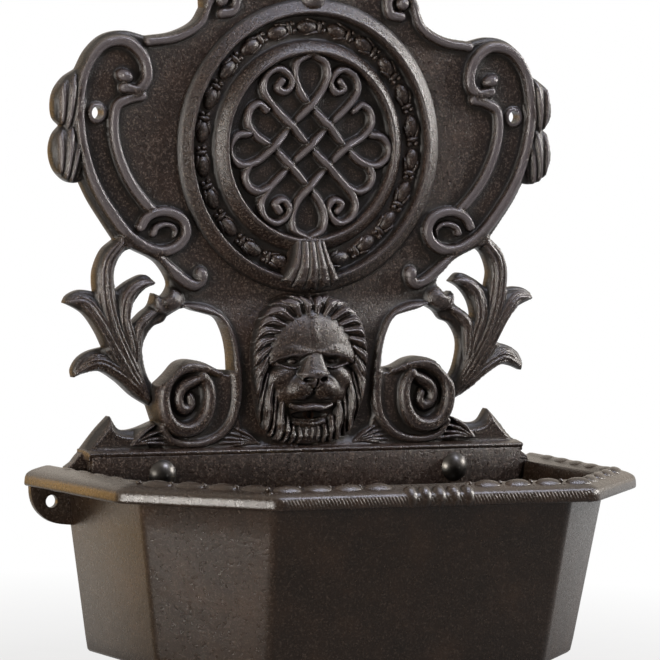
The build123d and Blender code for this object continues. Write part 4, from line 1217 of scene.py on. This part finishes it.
def basinWalls():
    # Rows of the section, from the foot outside round to the foot inside: inset, height and splay
    rimBottom = basin["rimTop"] - basin["rimHeight"]
    wallTop = rimBottom + rimSection[0][1] * basin["rimHeight"]
    wallSplay, rimSplay = basin["wallSplay"], basin["rimSplay"]
    foot = wallInset(basin["bottom"])
    footRound = basin["footRound"]
    rows = [(foot + footRound, basin["bottom"], wallSplay), (foot, basin["bottom"] + footRound, wallSplay)]
    rows += [(wallInset(z), z, wallSplay) for z in np.linspace(basin["bottom"] + 12, wallTop, 6)]
    for reach, rise in smoothLine(rimSection[1:], 0.05):
        splay = wallSplay + (rimSplay - wallSplay) * (1 if rise > 0.02 else reach)
        rows.append((basin["overhang"] * (1 - reach), rimBottom + rise * basin["rimHeight"], splay))
    lipZ = basin["rimTop"] - basin["dip"]
    lipInset = wallInset(lipZ) + basin["wall"]
    crestInset = basin["overhang"] * (1 - rimSection[-1][0]) + 3
    rows += [(crestInset, basin["rimTop"], rimSplay), (crestInset + 2.5, basin["rimTop"] - 1.2, rimSplay),
             (lipInset - 1.5, lipZ + 1.5, wallSplay), (lipInset, lipZ - 1, wallSplay)]
    floorTop = basin["bottom"] + basin["floor"]
    rows += [(wallInset(z) + basin["wall"], z, wallSplay) for z in np.linspace(lipZ - 8, floorTop, 5)]
    rows += [(foot + basin["wall"], basin["bottom"], wallSplay)]
    builder = bmesh.new()
    loops = [[builder.verts.new((x * mm, y * mm, z * mm)) for x, y in basinPlan(inset, 0, splay)]
             for inset, z, splay in rows]
    for low, high in zip(loops, loops[1:] + loops[:1]):
        for k in range(len(low) - 1):
            builder.faces.new((low[k], low[k + 1], high[k + 1], high[k]))
    builder.faces.new([loop[0] for loop in loops])
    builder.faces.new([loop[-1] for loop in reversed(loops)])
    return closedMesh(builder, "basinWalls")


def holedSlab(outline, hole, low, high, place):
    # A flat slab with one round hole
    builder = bmesh.new()
    edges = []
    for loop in (outline, hole):
        corners = [builder.verts.new(Vector(place(*point, low)) * mm) for point in loop]
        edges += [builder.edges.new((a, b)) for a, b in zip(corners, corners[1:] + corners[:1])]
    bmesh.ops.triangle_fill(builder, edges=edges, use_beauty=True)
    rise = (Vector(place(0, 0, high)) - Vector(place(0, 0, low))) * mm
    made = bmesh.ops.extrude_face_region(builder, geom=list(builder.faces), use_keep_orig=True)
    moved = [item for item in made["geom"] if isinstance(item, bmesh.types.BMVert)]
    bmesh.ops.translate(builder, vec=rise, verts=moved)
    return closedMesh(builder, "slab")


def makeBasin():
    meshes = [basinWalls()]
    floorTop = basin["bottom"] + basin["floor"]
    under = basin["bottom"] + basin["floorLift"]
    inside = wallInset(basin["bottom"]) + basin["wall"] - basin["tuck"]
    floorLine = basinPlan(inside, basin["backGap"] + basin["tuck"], basin["wallSplay"])
    drainX, drainDepth = basin["drain"]
    drainLine = ringLine((drainX, -drainDepth), basin["drainHole"], count=40)[:-1]
    meshes.append(holedSlab(floorLine, drainLine, under, floorTop, inPlan))
    low = floorLine[0][0]
    lipInside = wallInset(basin["rimTop"] - basin["dip"]) + basin["wall"] - basin["tuck"]
    high = basinPlan(lipInside, basin["backGap"], basin["wallSplay"])[0][0]
    half, top = basin["backHalf"], basin["backTop"]
    outer, inner = basin["backShoulder"]
    backLine = ((-low, under), (low, under), (high, outer), (half, inner), (half, top), (-half, top),
                (-half, inner), (-high, outer))
    meshes.append(prism(backLine, basin["backGap"], basin["backGap"] + basin["backWall"], onWall))
    earX, earZ = basin["ear"]
    for side in (1, -1):
        hole = ringLine((side * earX, earZ), basin["earHole"], count=28)[:-1]
        outline = [(side * x, z) for x, z in [*smoothLine(earEdge, 3.0), earRoot]]
        meshes.append(holedSlab(outline, hole, basin["earBack"], basin["earThickness"], onWall))
    return softened("basinCasting", meshes, basinIron, 0.9, 2, 38)


basinPiece = makeBasin()
print("basin", len(basinPiece.data.polygons))


# Rim ornament: eggs along the top, a roped lip, and gadroons at the middle of the front

rimOrnament = {
    "eggs": 8,
    "eggGap": 50.0,
    "eggInset": 13.5,
    "eggStart": 0.08,
    "eggEnd": 0.16,
    "eggDrop": 2.3,
    "sideEggs": 5,
    "sideEggInset": 21.5,
    "sideEggBack": 34,
    "sideEggDrop": 2.7,
    "ropes": 92,
    "ropeInset": 0.65,
    "ropeRise": 0.29,
    "lobes": 5,
    "lobeHalf": 26.0,
    "lobeInset": 5.0,
    "lobeDrop": 8.5,
    "nubInset": 3.5,
    "nubDrop": 11.5,
}
egg = [((0, 0, 0), (12.6, 6.4, 3.6), (-34, 0, 0)), ((15.9, 3.0, -1.6), (2.1, 2.1, 2.1), (0, 0, 0)),
       ((15.9, -2.4, 2.0), (2.1, 2.1, 2.1), (0, 0, 0))]
sideEgg = [((0, 0, 0), (15.5, 5.0, 3.4), (14, 0, 0))]
ropeStrand = [((0, 0, 0), (1.4, 1.0, 5.4), (2, 30, 0))]
lobe = [((0, 0, 0), (7.0, 5.8, 9.2), (24, 0, 0))]
nub = [((0, 0, 0), (7.5, 4.2, 5.6), (0, 0, 0))]


def makeRimOrnament():
    rimBottom = basin["rimTop"] - basin["rimHeight"]
    rimTop = basin["rimTop"]
    splay = basin["rimSplay"]
    meshes = []

    def along(name, line, z, pebbleList, count):
        unit = pebbles(name, pebbleList, 10, 16)
        places = [(x, y, z) for x, y in line]
        meshes.append(repeatUnit(name, places, False, unit, count, (0, 0, 1), basinIron))

    # Eggs and beads run along the front and the two corners, and on the inner edge of the sides;
    # a plan line has five points at each corner: 1 to 5 and 16 to 20 at the sides, 6 to 15 in front
    plan = [np.array(point) for point in basinPlan(rimOrnament["eggInset"], 0, splay)]
    gap = np.array((rimOrnament["eggGap"], plan[10][1]))
    right = [plan[5] + rimOrnament["eggStart"] * (plan[6] - plan[5]), *plan[6:11], gap]
    left = [gap * (-1, 1), *plan[11:16], plan[16] + rimOrnament["eggEnd"] * (plan[15] - plan[16])]
    for line in (right, left):
        along("eggs", line, rimTop - rimOrnament["eggDrop"], egg, rimOrnament["eggs"])
    sideLine = basinPlan(rimOrnament["sideEggInset"], rimOrnament["sideEggBack"], splay)
    for line in (sideLine[:2], sideLine[-2:]):
        along("sideEggs", line, rimTop - rimOrnament["sideEggDrop"], sideEgg, rimOrnament["sideEggs"])
    # Slanting strokes cover the upright lip of the front
    lipLine = basinPlan(rimOrnament["ropeInset"], 0, splay)[10:12]
    ropeZ = rimBottom + rimOrnament["ropeRise"] * basin["rimHeight"]
    along("ropes", lipLine, ropeZ, ropeStrand, rimOrnament["ropes"])
    half = rimOrnament["lobeHalf"]
    front = [(x, rimOrnament["lobeInset"] - basin["depth"]) for x in (half, -half)]
    along("lobes", front, rimTop - rimOrnament["lobeDrop"], lobe, rimOrnament["lobes"])
    nubs = [basinPlan(rimOrnament["nubInset"], 0, splay)[k] for k in (10, 11)]
    along("nubs", nubs, rimTop - rimOrnament["nubDrop"], nub, 2)
    return addPiece("rimOrnament", join(meshes, "rimOrnament"), basinIron)


rimPiece = makeRimOrnament()
print("rim ornament", len(rimPiece.data.polygons))


# Finish of the CAD nodes that stay

finishes = (
    (blackSteel, ("basin_bolts",)),
    (zincSteel, ("mask_screws", "bolt_washers", "bolt_nuts", "pipe_clips", "clip_screws")),
    (copper, ("supply_pipe", "spout_tube")),
    (brass, ("inlet_elbow", "pipe_nut", "inlet_fitting", "drain_flange", "drain_nut", "standpipe",
             "strainer_cap")),
    (rubber, ("spout_grommet", "drain_gasket", "standpipe_seal")),
    (fibre, ("drain_washer",)),
)
for material, names in finishes:
    for name in names:
        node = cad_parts[name]
        node.data.materials.clear()
        node.data.materials.append(material)

for piece in (plateRight, plateLeft, medallionDisc, wreath, draperyPiece, crestPiece, ledgePiece):
    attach(piece, "fountain")
    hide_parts("back_plate")
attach(maskPiece, "fountain")
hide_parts("lion_mask")
for piece in (basinPiece, rimPiece):
    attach(piece, "fountain")
    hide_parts("basin")


# Floor, light and camera

stage = {
    "floorSize": 30.0,
    "floorDrop": 0.002,
    "worldTone": "fff4e6",
    "warmTone": "e3bd80",
    "worldStrength": 0.5,
    "topShare": 0.55,
    "frontShare": 0.14,
    "floorShine": 0.03,
    "paperGlow": 0.8,
    "fadeNear": 0.35,
    "fadeFar": 0.9,
    "lampTarget": (0, -0.05, 0.16),
}


def paleFloor():
    # Seamless studio paper: matt, faintly fibrous, takes the shadow near the object and fades to white
    material, tree = newMaterial("studioPaper")
    place = addNode(tree, "ShaderNodeTexCoord").outputs["Object"]
    fibres = addNode(tree, "ShaderNodeTexNoise", feeds={
        "Vector": place, "Scale": perMm(30), "Detail": 3.0}).outputs["Fac"]
    tone = addRamp(tree, fibres, [(0.3, "686664"), (0.7, "72706d")])
    paper = addNode(tree, "ShaderNodeBsdfPrincipled", feeds={"Base Color": tone, "Roughness": 0.9})
    away = addNode(tree, "ShaderNodeVectorMath", {"operation": "LENGTH"}, {0: place}).outputs["Value"]
    fade = addNode(tree, "ShaderNodeMapRange", feeds={
        "Value": away, "From Min": stage["fadeNear"], "From Max": stage["fadeFar"],
        "To Min": stage["paperGlow"]}).outputs["Result"]
    path = addNode(tree, "ShaderNodeLightPath").outputs
    parts = addNode(tree, "ShaderNodeSeparateXYZ", feeds={"Vector": place}).outputs
    behind = addNode(tree, "ShaderNodeMapRange", feeds={
        "Value": parts["Y"], "From Min": -0.1, "From Max": 0.5,
        "To Min": stage["floorShine"]}).outputs["Result"]
    leftward = addNode(tree, "ShaderNodeMapRange", feeds={
        "Value": parts["X"], "From Min": -0.1, "From Max": -0.6,
        "To Max": path["Is Glossy Ray"]}).outputs["Result"]
    tone = addNode(tree, "ShaderNodeMix", {"data_type": "RGBA"}, {
        "Factor": leftward, 6: (1, 1, 1, 1), 7: toLinear(stage["warmTone"])}).outputs[2]
    white = addNode(tree, "ShaderNodeEmission", feeds={"Color": tone, "Strength": 1.0})
    seen = addNode(tree, "ShaderNodeMath", {"operation": "MAXIMUM"}, {
        0: path["Is Camera Ray"], 1: path["Is Transmission Ray"]}).outputs[0]
    plain = addNode(tree, "ShaderNodeMath", {"operation": "MULTIPLY"}, {0: fade, 1: seen}).outputs[0]
    share = addNode(tree, "ShaderNodeMath", {"operation": "MULTIPLY_ADD"}, {
        0: path["Is Glossy Ray"], 1: behind, 2: plain}).outputs[0]
    shader = addNode(tree, "ShaderNodeMixShader", feeds={
        0: share, 1: paper.outputs[0], 2: white.outputs[0]})
    finishMaterial(tree, shader)
    return material


def makeFloor():
    half = stage["floorSize"] / 2
    level = cadBox[0].z - stage["floorDrop"]
    mesh = bpy.data.meshes.new("studioFloor")
    corners = [(x * half, y * half, level) for x, y in ((-1, -1), (1, -1), (1, 1), (-1, 1))]
    mesh.from_pydata(corners, [], [(0, 1, 2, 3)])
    return addPiece("studioFloor", mesh, paleFloor(), smooth=False)


def makeWorld():
    # A white room, dim in front of the object and warmer on its left; the camera sees plain white
    world = bpy.data.worlds.new("studio")
    bpy.context.scene.world = world
    world.use_nodes = True
    tree = world.node_tree
    tree.nodes.clear()
    heading = addNode(tree, "ShaderNodeTexCoord").outputs["Generated"]
    parts = addNode(tree, "ShaderNodeSeparateXYZ", feeds={"Vector": heading}).outputs
    ahead = addNode(tree, "ShaderNodeMapRange", feeds={
        "Value": parts["Y"], "From Min": -0.85, "From Max": -0.05,
        "To Min": stage["frontShare"]}).outputs["Result"]
    above = addNode(tree, "ShaderNodeMapRange", feeds={
        "Value": parts["Z"], "From Min": 0.1, "From Max": 0.75,
        "To Max": stage["topShare"]}).outputs["Result"]
    room = addNode(tree, "ShaderNodeMath", {"operation": "MAXIMUM"}, {0: ahead, 1: above}).outputs[0]
    low = addNode(tree, "ShaderNodeMapRange", feeds={
        "Value": parts["Z"], "From Min": 0.4, "From Max": 0.1}).outputs["Result"]
    warmth = addNode(tree, "ShaderNodeMapRange", feeds={
        "Value": parts["X"], "From Min": -0.1, "From Max": -0.5, "To Max": low}).outputs["Result"]
    tone = addNode(tree, "ShaderNodeMix", {"data_type": "RGBA"}, {
        "Factor": warmth, 6: toLinear(stage["worldTone"]), 7: toLinear(stage["warmTone"])}).outputs[2]
    path = addNode(tree, "ShaderNodeLightPath").outputs
    shown = addNode(tree, "ShaderNodeMath", {"operation": "MAXIMUM"}, {
        0: path["Is Camera Ray"], 1: path["Is Transmission Ray"]}).outputs[0]
    dimmed = addNode(tree, "ShaderNodeMath", {"operation": "MULTIPLY"}, {
        0: room, 1: stage["worldStrength"]}).outputs[0]
    light = addNode(tree, "ShaderNodeBackground", feeds={"Color": tone, "Strength": dimmed})
    mirrored = addNode(tree, "ShaderNodeBackground", feeds={"Color": tone, "Strength": room})
    white = addNode(tree, "ShaderNodeBackground", feeds={"Color": (1, 1, 1, 1), "Strength": 1.0})
    glossed = addNode(tree, "ShaderNodeMixShader", feeds={
        0: path["Is Glossy Ray"], 1: light.outputs[0], 2: mirrored.outputs[0]})
    mixed = addNode(tree, "ShaderNodeMixShader", feeds={
        0: shown, 1: glossed.outputs[0], 2: white.outputs[0]})
    addNode(tree, "ShaderNodeOutputWorld", feeds={"Surface": mixed.outputs[0]})


# Round area lamps: place, size, power and colour
lamps = (
    ("rightWindow", (2.3, -0.45, 0.85), 0.6, 62, "f8f4f0"),
    ("leftWindow", (-2.0, -1.0, 0.17), 0.55, 54, "fffaf4"),
    ("topLamp", (1.1, -1.0, 2.1), 0.6, 44, "e6eaff"),
    ("backWarmth", (-1.35, 1.95, 0.1), 1.2, 9, "ecb565"),
)


def makeLamps():
    target = Vector(stage["lampTarget"])
    for name, place, size, power, tone in lamps:
        data = bpy.data.lights.new(name, "AREA")
        data.shape = "DISK"
        data.size = size
        data.energy = power
        data.color = toLinear(tone)[:3]
        lamp = newObject(name, data)
        lamp.visible_camera = False
        lamp.location = place
        lamp.rotation_euler = (target - Vector(place)).to_track_quat("-Z", "Y").to_euler()


camera = {
    "place": (-1.9449, -3.6760, 0.3977),
    "yaw": 28.25,
    "pitch": 3.58,
    "roll": 1.20,
    "focalPixels": 4987.0,
    "imagePixels": 660.0,
    "sensor": 36.0,
}


def makeCamera():
    yaw, pitch, roll = (math.radians(camera[name]) for name in ("yaw", "pitch", "roll"))
    ahead = Vector((math.sin(yaw) * math.cos(pitch), math.cos(yaw) * math.cos(pitch), -math.sin(pitch)))
    level = Vector((math.cos(yaw), -math.sin(yaw), 0))
    plumb = level.cross(ahead)
    right = level * math.cos(roll) + plumb * math.sin(roll)
    up = plumb * math.cos(roll) - level * math.sin(roll)
    data = bpy.data.cameras.new("photoCamera")
    data.sensor_width = camera["sensor"]
    data.lens = camera["focalPixels"] / camera["imagePixels"] * camera["sensor"]
    data.clip_end = 100
    piece = newObject("photoCamera", data)
    turn = Matrix((right, up, -ahead)).transposed().to_4x4()
    piece.matrix_world = Matrix.Translation(Vector(camera["place"])) @ turn
    bpy.context.scene.camera = piece


makeFloor()
makeWorld()
makeLamps()
makeCamera()
bpy.context.scene.view_settings.view_transform = "Standard"
print("stage set")
